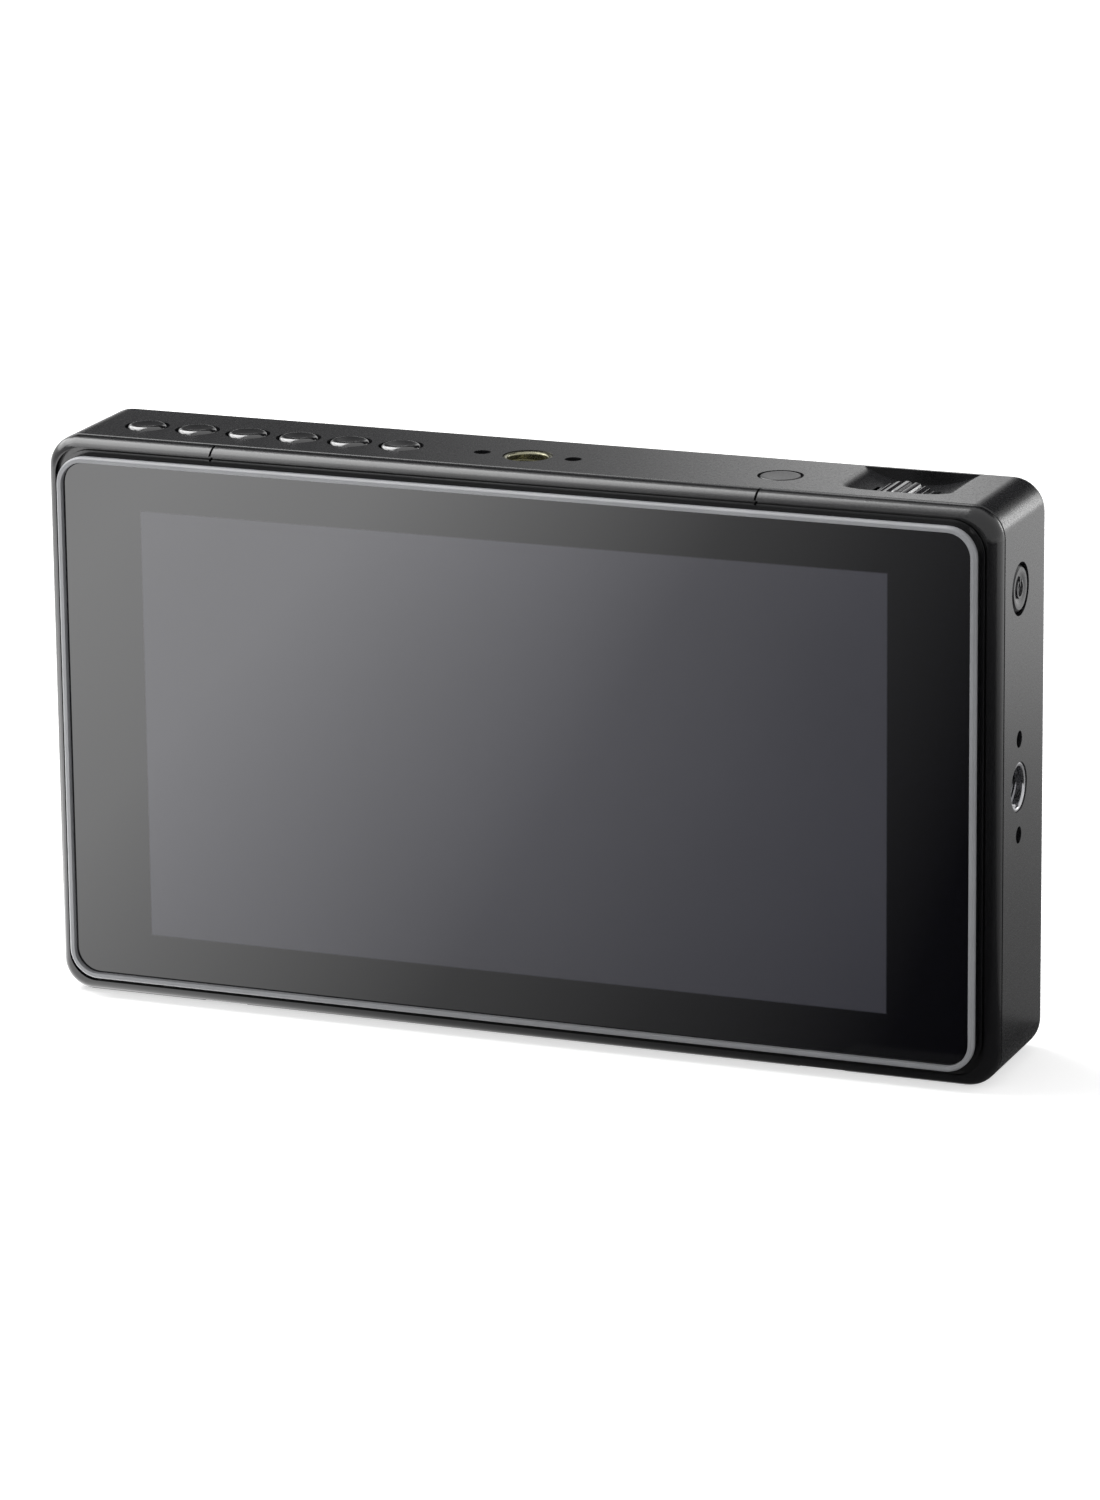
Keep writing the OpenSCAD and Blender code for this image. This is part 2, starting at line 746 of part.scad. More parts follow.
module key_ribbon() {
  key_ribbon_in = 28.7;
  ribbon_left = key_board_left + key_ribbon_in;
  color([0.75, 0.5, 0.15])
    box(ribbon_left, ribbon_left + ribbon_w / 2, board_depth - ribbon_t, board_depth, board_high - 5,
      key_board_z - key_board_t);
}

// ---------- keys ----------

module key_board() {
  color([0.05, 0.25, 0.15])
    difference() {
      box(key_board_left, key_board_right, key_line_depth - key_board_reach,
        board_depth + key_board_over, key_board_z - key_board_t, key_board_z);
      for (p = hangers)
        rod_z(small_screw_r + hole_gap, p[0], key_y + p[1], key_board_z - key_board_t - cut,
          key_board_z + cut);
    }
}

module key_board_screws() {
  color([0.55, 0.55, 0.57])
    for (p = hangers)
      translate([p[0], key_y + p[1], key_board_z - key_board_t - small_head_t])
        rotate([180, 0, 0])
          screw(small_head_r, small_head_t, small_screw_r,
            small_head_t + key_board_t + hanger_screw_l - tip_gap);
}

// Push switch with a round stub, standing along +Z on z = 0
module push_switch(t) {
  translate([-switch_w / 2, -switch_w / 2, 0]) cube([switch_w, switch_w, t]);
  cylinder(h = t + stub_t, r = stub_r);
}

module key_switches() {
  color([0.3, 0.3, 0.32])
    for (x = top_key_xs)
      on_top(x, key_line_depth, key_board_drop)
        push_switch(key_board_drop - key_stem_end - button_travel - press_gap - stub_t);
}

// Cap with a bevelled edge and a dished face, a retaining flange and a stem, along +Z
module button_cap(r, proud, bevel, dish, stem_end) {
  flange_z = -wall - flange_gap;
  flange_r = r + button_gap + key_flange_lip;
  difference() {
    rotate_extrude()
      polygon([[0, -stem_end], [key_stem_r, -stem_end], [key_stem_r, flange_z - key_flange_t],
        [flange_r, flange_z - key_flange_t], [flange_r, flange_z], [r, flange_z], [r, proud - bevel],
        [r - bevel, proud], [0, proud]]);
    if (dish > 0)
      translate([0, 0, proud + dish_r - dish]) sphere(dish_r);
  }
}

module menu_button(i) {
  color([0.1, 0.1, 0.11])
    on_top(button_x(i)) button_cap(button_r, button_proud, key_bevel, menu_dish, key_stem_end);
}

module assign_button() {
  color([0.18, 0.18, 0.19])
    on_top(assign_x) button_cap(button_r, 0, assign_bevel, 0, key_stem_end);
}

// Power mark: a ring open at the top with an upright bar in the gap, raised on the cap
module power_mark(t) {
  ring_r = 1.5;
  line = 0.35;
  linear_extrude(t) {
    difference() {
      circle(ring_r);
      circle(ring_r - line);
      polygon([[0, 0], [-2 * ring_r, ring_r], [-2 * ring_r, -ring_r]]);
    }
    translate([-ring_r - line, -line / 2]) square([ring_r, line]);
  }
}

module power_button() {
  mark_t = 0.35;
  color([0.16, 0.16, 0.17])
    on_right(power_z) {
      button_cap(power_r, 0, key_bevel, mark_t, power_stem_end);
      translate([0, 0, -mark_t]) power_mark(mark_t);
    }
}

module power_board() {
  color([0.05, 0.25, 0.15])
    difference() {
      translate([body_w / 2 - power_board_drop - power_board_t, side_y - power_board_w / 2,
          power_z - power_hanger - hanger_r])
        cube([power_board_t, power_board_w, 2 * (power_hanger + hanger_r)]);
      for (s = [-1, 1])
        rod_x(small_screw_r + hole_gap, body_w / 2 - power_board_drop - power_board_t - cut,
          body_w / 2 - power_board_drop + cut, side_y, power_z + s * power_hanger);
    }
}

module power_switch() {
  color([0.3, 0.3, 0.32])
    on_right(power_z, side_line_depth, power_board_drop)
      push_switch(power_board_drop - power_stem_end - button_travel - press_gap - stub_t);
}

module power_board_screws() {
  color([0.55, 0.55, 0.57])
    for (s = [-1, 1])
      translate([body_w / 2 - power_board_drop - power_board_t - small_head_t, side_y,
          power_z + s * power_hanger])
        rotate([0, -90, 0])
          screw(small_head_r, small_head_t, small_screw_r,
            small_head_t + power_board_t + power_screw_l - tip_gap);
}

// ---------- thumb wheel ----------

wheel_front = key_line_depth - wheel_w / 2;
wheel_back = key_line_depth + wheel_w / 2;
ear_front = wheel_front - wheel_gap - ear_t;
ear_back = wheel_back + wheel_gap + ear_t;
wheel_half = wheel_w / 2 - wheel_chamfer;

module thumb_wheel() {
  color([0.2, 0.2, 0.21])
    difference() {
      translate([wheel_x, key_y, wheel_z])
        rotate([90, 0, 0]) {
          cylinder(h = 2 * wheel_half, r = wheel_r, center = true);
          for (s = [0, 1])
            mirror([0, 0, s])
              translate([0, 0, wheel_half])
                cylinder(h = wheel_chamfer, r1 = wheel_r, r2 = wheel_r - wheel_chamfer);
        }
      rod_y(axle_r, wheel_front - cut, wheel_back + cut, wheel_x, wheel_z);
      for (i = [0:knurls - 1])
        translate([wheel_x, key_y, wheel_z])
          rotate([0, (i + 0.5) * 360 / knurls, 0])
            translate([0, 0, wheel_r + 0.1])
              rotate([90, 0, 0])
                cylinder(h = wheel_w + 2 * cut, r = knurl_r, center = true, $fn = 16);
    }
}

module wheel_axle() {
  color([0.75, 0.75, 0.76])
    rod_y(axle_r, ear_front - axle_end, ear_back + axle_end, wheel_x, wheel_z);
}

bracket_base_z = wheel_z - wheel_r - wheel_gap;

module wheel_bracket() {
  base_z = bracket_base_z;
  top_z = body_h - pad_drop;
  color([0.72, 0.73, 0.75])
    difference() {
      union() {
        for (front = [ear_front, ear_back - ear_t])
          box(wheel_x - bracket_half, wheel_x + bracket_half, front, front + ear_t, base_z - ear_t, top_z);
        box(wheel_x - bracket_half, wheel_x + bracket_half, ear_front, ear_back, base_z - ear_t, base_z);
        for (s = [-1, 1])
          translate([s * (bracket_half + (tab_l - ear_t) / 2), 0, 0])
            box(wheel_x - (tab_l + ear_t) / 2, wheel_x + (tab_l + ear_t) / 2, ear_front, ear_back,
              top_z - tab_t, top_z);
      }
      rod_y(axle_r + axle_gap, ear_front - cut, ear_back + cut, wheel_x, wheel_z);
      rod_z(encoder_eye_r + slip, wheel_x, key_y, base_z - ear_t - cut, base_z + cut);
      for (s = [-1, 1])
        rod_z(small_screw_r + hole_gap, wheel_x + s * tab_screw_x, key_y, top_z - tab_t - cut, top_z + cut);
    }
}

module wheel_bracket_screws() {
  color([0.55, 0.55, 0.57])
    for (s = [-1, 1])
      translate([wheel_x + s * tab_screw_x, key_y, body_h - pad_drop - tab_t - small_head_t])
        rotate([180, 0, 0])
          screw(small_head_r, small_head_t, small_screw_r, small_head_t + tab_t + tab_screw_l - slip);
}

// Sensor under the bracket's base, whose eye looks up at the wheel through a hole in it
module wheel_encoder() {
  top_z = bracket_base_z - ear_t;
  color([0.12, 0.12, 0.13]) {
    box(wheel_x - encoder_w / 2, wheel_x + encoder_w / 2, key_line_depth - encoder_l / 2,
      key_line_depth + encoder_l / 2, top_z - encoder_t, top_z);
    rod_z(encoder_eye_r, wheel_x, key_y, top_z - encoder_t / 2, bracket_base_z);
  }
}

// ---------- thread inserts ----------

module thread_insert() {
  difference() {
    translate([0, 0, -insert_sink - insert_l]) cylinder(h = insert_l, r = insert_r);
    translate([0, 0, -insert_sink - insert_l - cut]) cylinder(h = insert_l + 2 * cut, r = thread_r);
    translate([0, 0, -insert_sink - insert_chamfer])
      cylinder(h = insert_chamfer + 0.01, r1 = thread_r, r2 = thread_r + insert_chamfer);
  }
}

module top_thread_insert() {
  color([0.72, 0.62, 0.36]) on_top(-top_thread_off) thread_insert();
}
module side_thread_insert() {
  color([0.75, 0.75, 0.76]) on_right(mid_z) thread_insert();
}
module bottom_thread_insert() {
  color([0.72, 0.62, 0.36]) on_bottom(0) thread_insert();
}

// ---------- back ----------

// Window for the latch, through the cover and the battery plate
module latch_window(from_depth, to_depth) {
  box(-latch_w / 2 - mover_gap, latch_w / 2 + mover_gap, from_depth, to_depth,
    latch_low - mover_gap, latch_low + latch_h + mover_gap);
}

module back_cover() {
  color([0.14, 0.14, 0.15])
    difference() {
      slab(cover_w, cover_h, cover_r, cover_depth, body_depth);
      for (x = cover_screw_xs)
        for (z = cover_screw_zs) {
          rod_y(screw_r + hole_gap, cover_depth - cut, body_depth + cut, x, z);
          rod_y(screw_head_r + slip, body_depth - screw_head_t - head_sink, body_depth + cut, x, z);
        }
      for (x = plate_screw_xs)
        for (z = plate_screw_zs)
          rod_y(screw_r + thread_gap, cover_depth - cut, body_depth + cut, x, z);
      latch_window(cover_depth - cut, body_depth + cut);
      // cooling slots beside the battery plate
      for (s = [-1, 1])
        for (i = [0:vent_slots - 1])
          slab(vent_l, vent_w, vent_w / 2 - 0.01, cover_depth - cut, body_depth + cut,
            s * vent_x, mid_z + (i - (vent_slots - 1) / 2) * vent_pitch);
    }
}

vent_slots = 7;
vent_l = 18;
vent_w = 1.6;
vent_x = 38;
vent_pitch = 4;

module back_cover_screws() {
  color([0.3, 0.3, 0.31])
    for (x = cover_screw_xs)
      for (z = cover_screw_zs)
        facing_back(x, body_depth - head_sink, z)
          screw(screw_head_r, screw_head_t, screw_r, cover_screw_l);
}

plate_screw_xs = [-plate_screw_x, plate_screw_x];
plate_screw_zs = [mid_z - plate_screw_rise, mid_z + plate_screw_rise];

module battery_plate() {
  lip_rise = 22;
  color([0.08, 0.08, 0.085])
    difference() {
      union() {
        slab(plate_w, plate_h, 1.5, body_depth, plate_face_depth, 0, mid_z);
        for (s = [-1, 1])
          for (t = [-1, 1])
            slab(plate_w + 2 * lip_w, lip_l, 0.8, plate_face_depth - lip_t, plate_face_depth, 0,
              mid_z + t * lip_rise);
      }
      for (x = plate_screw_xs)
        for (z = plate_screw_zs) {
          rod_y(screw_r + hole_gap, body_depth - cut, plate_face_depth + cut, x, z);
          rod_y(screw_head_r + slip, plate_face_depth - screw_head_t - head_sink, plate_face_depth + cut,
            x, z);
        }
      latch_window(body_depth - cut, plate_face_depth + cut);
      // pocket of the contacts
      box(-contact_block_w / 2 - slip, contact_block_w / 2 + slip, body_depth - cut, plate_face_depth + cut,
        contact_z - contact_block_h / 2 - slip, contact_z + contact_block_h / 2 + slip);
      // shallow grooves that lighten the face
      for (s = [-1, 1])
        slab(groove_l, groove_h, 0.7, plate_face_depth - groove_t, plate_face_depth + cut, s * groove_x,
          mid_z + groove_rise);
    }
}

groove_l = 9;
groove_h = 34;
groove_t = 0.8;
groove_x = 8;
groove_rise = 3;

module battery_plate_screws() {
  color([0.3, 0.3, 0.31])
    for (x = plate_screw_xs)
      for (z = plate_screw_zs)
        facing_back(x, plate_face_depth - head_sink, z)
          screw(screw_head_r, screw_head_t, screw_r, plate_t + cover_t - head_sink);
}

module contact_block() {
  color([0.12, 0.12, 0.12])
    box(-contact_block_w / 2, contact_block_w / 2, body_depth, body_depth + contact_block_t,
      contact_z - contact_block_h / 2, contact_z + contact_block_h / 2);
}

module battery_contacts() {
  blade_w = 1.2;
  blade_l = 4.5;
  blade_t = 0.7;
  blade_pitch = 5;
  color([0.83, 0.69, 0.35])
    for (i = [-1:1])
      box(i * blade_pitch - blade_w / 2, i * blade_pitch + blade_w / 2, body_depth + contact_block_t,
        body_depth + contact_block_t + blade_t, contact_z - blade_l / 2, contact_z + blade_l / 2);
}

module battery_latch() {
  nib_h = 1.6;
  nib_w = 8;
  flange_back = cover_depth - mover_gap;
  color([0.55, 0.1, 0.08]) {
    box(-latch_w / 2, latch_w / 2, flange_back - latch_flange_t / 2, plate_face_depth + pad_proud,
      latch_low, latch_low + latch_h);
    box(-nib_w / 2, nib_w / 2, plate_face_depth, plate_face_depth + nib_proud,
      latch_low + latch_h - nib_h, latch_low + latch_h);
    box(-latch_w / 2 - 1.2, latch_w / 2 + 1.2, flange_back - latch_flange_t, flange_back,
      latch_low - 1.2, latch_low + latch_h + 1.2);
  }
}

// Coil spring between the mainboard and the latch's flange: one tube along a helix whose two
// end turns lie flat
spring_r = 2.2;
spring_wire_r = 0.25;
spring_turns = 5;
spring_steps = 14;
spring_sides = 6;
spring_low = board_depth + board_t;
spring_high = cover_depth - mover_gap - latch_flange_t;
spring_run = spring_high - spring_low - 2 * spring_wire_r;
function spring_share(t) = max(0, min(1, (t * spring_turns - 0.8) / (spring_turns - 1.6)));
function spring_ring(t) =
  let (a = 360 * spring_turns * t, y = spring_wire_r + spring_run * spring_share(t))
  [for (j = [0:spring_sides - 1])
    let (b = 360 * j / spring_sides, r = spring_r + spring_wire_r * cos(b))
    [r * cos(a), r * sin(a), y + spring_wire_r * sin(b)]];
spring_last = spring_turns * spring_steps;
spring_points = [for (i = [0:spring_last]) each spring_ring(i / spring_last)];
function quad(a, b, c, d) = [[a, b, c], [a, c, d]];
spring_faces = concat(
  [for (i = [0:spring_last - 1]) for (j = [0:spring_sides - 1])
    let (k = (j + 1) % spring_sides)
    each quad(i * spring_sides + j, i * spring_sides + k, (i + 1) * spring_sides + k,
      (i + 1) * spring_sides + j)],
  [for (j = [1:spring_sides - 2]) [0, j + 1, j]],
  [for (j = [1:spring_sides - 2]) [0, j, j + 1] + [1, 1, 1] * spring_last * spring_sides]);

module latch_spring() {
  color([0.7, 0.7, 0.72])
    translate([0, at_depth(spring_low), latch_z])
      rotate([-90, 0, 0])
        polyhedron(spring_points, spring_faces);
}

// ---------- sockets on the left side ----------

// Metal shell with an open mouth to the left and a contact tongue in it
module shell_socket(z, w, t, shell_t, tongue_w, tongue_t) {
  mid = board_depth - t / 2;
  translate([socket_x, at_depth(mid), z])
    rotate([90, 0, 90]) {
      difference() {
        linear_extrude(socket_l) rounded_rect(t, w, 0.6);
        translate([0, 0, -cut]) linear_extrude(socket_l - 2 + cut)
          rounded_rect(t - 2 * shell_t, w - 2 * shell_t, 0.4);
      }
      translate([-tongue_t / 2, -tongue_w / 2, 1]) cube([tongue_t, tongue_w, socket_l - 2]);
    }
}

video_shell_t = 0.5;
video_tongue_w = 11;
video_tongue_t = 1.4;

module video_input_socket() {
  color([0.7, 0.7, 0.72])
    shell_socket(video_in_z, video_w, video_t, video_shell_t, video_tongue_w, video_tongue_t);
}

module video_output_socket() {
  color([0.7, 0.7, 0.72])
    shell_socket(video_out_z, video_w, video_t, video_shell_t, video_tongue_w, video_tongue_t);
}

module data_socket() {
  shell_t = 0.3;
  tongue_w = 6.7;
  tongue_t = 0.7;
  color([0.7, 0.7, 0.72]) shell_socket(data_z, data_w, data_t, shell_t, tongue_w, tongue_t);
}

// Power jack: barrel with a centre pin
module dc_jack() {
  mid = board_depth - jack_r;
  barrel_bore_r = 2.8;
  pin_r = 1;
  color([0.1, 0.1, 0.1]) {
    difference() {
      union() {
        rod_x(jack_r, socket_x, socket_x + socket_l, at_depth(mid), jack_z);
        box(-inner_w / 2 + 0.5, socket_x + socket_l, mid, board_depth, jack_z - jack_r, jack_z + jack_r);
      }
      rod_x(barrel_bore_r, socket_x - cut, socket_x + socket_l - 2, at_depth(mid), jack_z);
    }
    rod_x(pin_r, socket_x + 1, socket_x + socket_l - 1, at_depth(mid), jack_z);
  }
}

module headphone_jack() {
  mid = board_depth - phones_body_r;
  color([0.1, 0.1, 0.1])
    difference() {
      union() {
        rod_x(phones_body_r, socket_x, socket_x + phones_l, at_depth(mid), phones_z);
        box(-inner_w / 2 + 0.5, socket_x + phones_l, mid, board_depth, phones_z - phones_body_r,
          phones_z + phones_body_r);
      }
      rod_x(phones_r, socket_x - cut, socket_x + socket_l, at_depth(mid), phones_z);
    }
}

// ---------- the whole part ----------

main_housing();
front_frame();
bezel_rim();
cover_glass();
glass_gasket();
display_panel();
backlight_tray();
chassis_plate();
chassis_screws();
mainboard();
board_screws();
processor();
heat_spreader();
display_ribbon();
key_ribbon();
key_board();
key_board_screws();
key_switches();
menu_button(1);  // menu_button_1
menu_button(2);  // menu_button_2
menu_button(3);  // menu_button_3
menu_button(4);  // menu_button_4
menu_button(5);  // menu_button_5
menu_button(6);  // menu_button_6
assign_button();
power_button();
power_board();
power_switch();
power_board_screws();
thumb_wheel();
wheel_axle();
wheel_bracket();
wheel_encoder();
wheel_bracket_screws();
top_thread_insert();
side_thread_insert();
bottom_thread_insert();
back_cover();
back_cover_screws();
battery_plate();
battery_plate_screws();
contact_block();
battery_contacts();
battery_latch();
latch_spring();
video_input_socket();
video_output_socket();
data_socket();
dc_jack();
headphone_jack();
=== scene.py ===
"""Studio picture of a camera field monitor.

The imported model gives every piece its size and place. This script gives the pieces their looks:
softened edges on the machined shells, turned keys, a knurled wheel, threaded inserts, and one
procedural finish for each material. It then sets up a plain white studio and the camera.

Lengths are in millimetres unless a name says otherwise, and become metres where they reach
Blender. X runs to the right, Y from the screen to the battery plate, Z up.
"""

from __future__ import annotations

import json
import logging
import math
from collections.abc import Callable, Iterator, Sequence
from contextlib import contextmanager
from dataclasses import dataclass
from enum import Enum

import bmesh
import bpy
from mathutils import Matrix, Vector

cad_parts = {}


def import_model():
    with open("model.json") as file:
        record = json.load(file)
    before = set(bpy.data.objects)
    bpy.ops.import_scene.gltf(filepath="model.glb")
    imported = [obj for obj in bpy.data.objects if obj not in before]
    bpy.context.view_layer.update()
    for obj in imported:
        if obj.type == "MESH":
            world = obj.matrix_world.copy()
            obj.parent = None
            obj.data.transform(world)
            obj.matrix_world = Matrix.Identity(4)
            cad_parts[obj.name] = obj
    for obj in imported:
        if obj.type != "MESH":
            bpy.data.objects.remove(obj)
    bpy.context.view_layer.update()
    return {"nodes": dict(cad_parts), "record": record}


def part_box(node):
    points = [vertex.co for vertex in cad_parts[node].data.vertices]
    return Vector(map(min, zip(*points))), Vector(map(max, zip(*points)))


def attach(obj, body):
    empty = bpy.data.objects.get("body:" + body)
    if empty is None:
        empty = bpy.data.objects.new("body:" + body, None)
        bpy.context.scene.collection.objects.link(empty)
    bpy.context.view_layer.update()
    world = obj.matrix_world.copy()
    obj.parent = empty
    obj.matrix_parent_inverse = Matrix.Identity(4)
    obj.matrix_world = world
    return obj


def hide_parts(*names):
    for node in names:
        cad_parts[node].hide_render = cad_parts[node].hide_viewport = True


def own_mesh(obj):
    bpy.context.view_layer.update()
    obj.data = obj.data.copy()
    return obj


LOG = logging.getLogger("monitor")
MM = 0.001
BODY = "monitor_body"
TOUCH = 0.01  # millimetres within which two places count as one
MERGE = 0.002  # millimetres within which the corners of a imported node's triangles are one
FLAT = 0.6  # degrees up to which neighbouring triangles are one face
NEAR_AXIS = 0.1  # millimetres from its axis within which an end disc's middle lies
FACING = 0.9  # least share of a face's normal that points the way the face is said to look

# numbers of the Mix node's sockets for colours, because its other sockets share their names
FACTOR, FIRST, SECOND, MIXED = 0, 6, 7, 2

# noise keeps near a half, so this middle stretch is spread over the whole of a range
NOISE_RANGE = {"From Min": 0.3, "From Max": 0.7}
OCTAVE_SHARE = 0.55  # strength of each finer octave of noise as a share of the one before

Point = tuple[float, float, float]
Piece = bpy.types.Object
Tree = bpy.types.NodeTree
Socket = bpy.types.NodeSocket


# ---------------------------------------------------------------- colour and node helpers


def linear(hex_colour: str) -> tuple[float, float, float, float]:
    """Turns an sRGB hex colour into the linear colour that a shader takes.

    Args:
        hex_colour: Six hex digits, such as "1a1a1c".

    Returns:
        Red, green, blue and an alpha of 1.
    """
    channels = [int(hex_colour[i : i + 2], 16) / 255 for i in (0, 2, 4)]
    red, green, blue = (
        c / 12.92 if c <= 0.04045 else ((c + 0.055) / 1.055) ** 2.4 for c in channels
    )
    return (red, green, blue, 1.0)


def add_node(
    tree: Tree, kind: str, inputs: dict | None = None, **settings: object
) -> bpy.types.Node:
    """Adds a node with its settings, its input values and the links that come into it.

    Args:
        tree: The node tree.
        kind: The node's type, such as "ShaderNodeTexNoise".
        inputs: Values or output sockets by the input's name or number.
        **settings: Attributes of the node.

    Returns:
        The new node.
    """
    node = tree.nodes.new(kind)
    for name, value in settings.items():
        setattr(node, name, value)
    for name, value in (inputs or {}).items():
        if isinstance(value, Socket):
            tree.links.new(value, node.inputs[name])
        else:
            node.inputs[name].default_value = value
    return node


def set_ramp(node: bpy.types.Node, stops: Sequence[tuple[float, tuple]]) -> None:
    """Gives a colour ramp its stops.

    Args:
        node: The ramp node.
        stops: Pairs of position and linear colour, in rising order.
    """
    elements = node.color_ramp.elements
    while len(elements) < len(stops):
        elements.new(0.5)
    for element, (position, colour) in zip(elements, stops):
        element.position = position
        element.color = colour


def blotches(place: Socket, size: float, detail: float) -> dict:
    """Gives the inputs of noise in blotches about size millimetres wide, with finer octaves."""
    return {"Vector": place, "Scale": 1 / size, "Detail": detail, "Roughness": OCTAVE_SHARE}


def empty_tree(material: bpy.types.Material) -> Tree:
    """Clears a material's nodes.

    Args:
        material: The material.

    Returns:
        Its empty node tree.
    """
    material.use_nodes = True
    material.node_tree.nodes.clear()
    return material.node_tree


# ---------------------------------------------------------------- finishes


class Grain(Enum):
    """Stretch of a metal's lines along X, Y and Z: a small number draws them out that way."""

    NONE = (1.0, 1.0, 1.0)
    ALONG_X = (0.04, 1.0, 1.0)


@dataclass(frozen=True)
class Finish:
    """What all finishes share: a name, and one material made when it is first asked for."""

    name: str

    def material(self) -> bpy.types.Material:
        """Gives the finish's material, and makes it the first time.

        Returns:
            The material.
        """
        found = bpy.data.materials.get(self.name)
        if found is not None:
            return found
        made = bpy.data.materials.new(self.name)
        tree = empty_tree(made)
        shader = add_node(tree, "ShaderNodeBsdfPrincipled", self.surface(tree))
        add_node(tree, "ShaderNodeOutputMaterial", {"Surface": shader.outputs["BSDF"]})
        return made

    def surface(self, tree: Tree) -> dict:
        """Builds the finish's nodes; each kind of finish has its own.

        Args:
            tree: The material's node tree.

        Returns:
            Values and output sockets for the surface shader, by the input's name.
        """
        raise NotImplementedError

    @staticmethod
    def coordinates(tree: Tree, scale: Sequence[float] = (1.0, 1.0, 1.0)) -> Socket:
        """Gives the place on the piece in millimetres.

        Args:
            tree: The node tree.
            scale: Stretch along X, Y and Z; a small number draws a pattern out that way.

        Returns:
            The vector socket.
        """
        place = add_node(tree, "ShaderNodeTexCoord").outputs["Object"]
        inputs = {"Vector": place, "Scale": [s / MM for s in scale]}
        return add_node(tree, "ShaderNodeMapping", inputs).outputs["Vector"]

    @staticmethod
    def patches(
        tree: Tree, place: Socket, size: float, detail: float, low: float = 0.0, high: float = 1.0
    ) -> Socket:
        """Lets a value wander in patches.

        Args:
            tree: The node tree.
            place: The place in millimetres.
            size: Width of a patch in millimetres.
            detail: Finer noise on top, in octaves.
            low: Least value.
            high: Greatest value.

        Returns:
            The value's socket.
        """
        value = add_node(tree, "ShaderNodeTexNoise", blotches(place, size, detail)).outputs["Fac"]
        inputs = {"Value": value, **NOISE_RANGE, "To Min": low, "To Max": high}
        return add_node(tree, "ShaderNodeMapRange", inputs).outputs["Result"]

    @classmethod
    def clouded(
        cls, tree: Tree, place: Socket, size: float, detail: float, first: str, second: str
    ) -> Socket:
        """Mixes two colours in soft clouds.

        Args:
            tree: The node tree.
            place: The place in millimetres.
            size: Width of a cloud in millimetres.
            detail: Finer noise on top, in octaves.
            first: The one colour as six hex digits.
            second: The other colour.

        Returns:
            The colour's socket.
        """
        share = cls.patches(tree, place, size, detail)
        tones = {FACTOR: share, FIRST: linear(first), SECOND: linear(second)}
        return add_node(tree, "ShaderNodeMix", tones, data_type="RGBA").outputs[MIXED]

    @staticmethod
    def grained(
        tree: Tree, place: Socket, size: float, detail: float, low: float, high: float, depth: float
    ) -> dict:
        """Lets one fine grain move the roughness and the normal together.

        Args:
            tree: The node tree.
            place: The place in millimetres.
            size: Width of a grain in millimetres.
            detail: Finer noise on top, in octaves.
            low: Least roughness.
            high: Greatest roughness.
            depth: Depth of the grain in millimetres.

        Returns:
            The surface shader's roughness and normal.
        """
        height = add_node(tree, "ShaderNodeTexNoise", blotches(place, size, detail)).outputs["Fac"]
        rough = {"Value": height, **NOISE_RANGE, "To Min": low, "To Max": high}
        bumps = {"Height": height, "Distance": depth * MM, "Strength": 0.5}
        return {
            "Roughness": add_node(tree, "ShaderNodeMapRange", rough).outputs["Result"],
            "Normal": add_node(tree, "ShaderNodeBump", bumps).outputs["Normal"],
        }


@dataclass(frozen=True)
class Anodised(Finish):
    """Aluminium, bead-blasted and anodised: an even, satin skin with a fine grain.

    The real grain is about a tenth of a millimetre, so it is drawn coarser than it is to show."""

    colour: str
    light_colour: str
    roughness: float
    rough_spread: float = 0.05
    cloud: float = 14.0
    grain: float = 0.35
    grain_detail: float = 3.0
    grain_depth: float = 0.012
    ior: float = 1.5

    def surface(self, tree: Tree) -> dict:
        """Builds a dielectric skin whose grain moves its roughness and normal.

        Args:
            tree: The material's node tree.

        Returns:
            The surface shader's inputs.
        """
        place = self.coordinates(tree)
        low, high = self.roughness - self.rough_spread, self.roughness + self.rough_spread
        return {
            "Base Color": self.clouded(
                tree, place, self.cloud, 2.0, self.colour, self.light_colour
            ),
            "IOR": self.ior,
            **self.grained(
                tree, place, self.grain, self.grain_detail, low, high, self.grain_depth
            ),
        }


@dataclass(frozen=True)
class BareMetal(Finish):
    """Bare or plated metal with the fine lines that turning, rolling or brushing leaves."""

    colour: str
    dull_colour: str
    roughness: float
    smoother: float = 0.06
    rougher: float = 0.08
    cloud: float = 3.0
    lines: Grain = Grain.NONE
    line_width: float = 0.12
    line_depth: float = 0.006

    def surface(self, tree: Tree) -> dict:
        """Builds a metal whose lines streak its roughness and normal.

        Args:
            tree: The material's node tree.

        Returns:
            The surface shader's inputs.
        """
        place = self.coordinates(tree)
        drawn = self.coordinates(tree, self.lines.value)
        low, high = self.roughness - self.smoother, self.roughness + self.rougher
        return {
            "Base Color": self.clouded(
                tree, place, self.cloud, 3.0, self.colour, self.dull_colour
            ),
            "Metallic": 1.0,
            **self.grained(tree, drawn, self.line_width, 2.0, low, high, self.line_depth),
        }


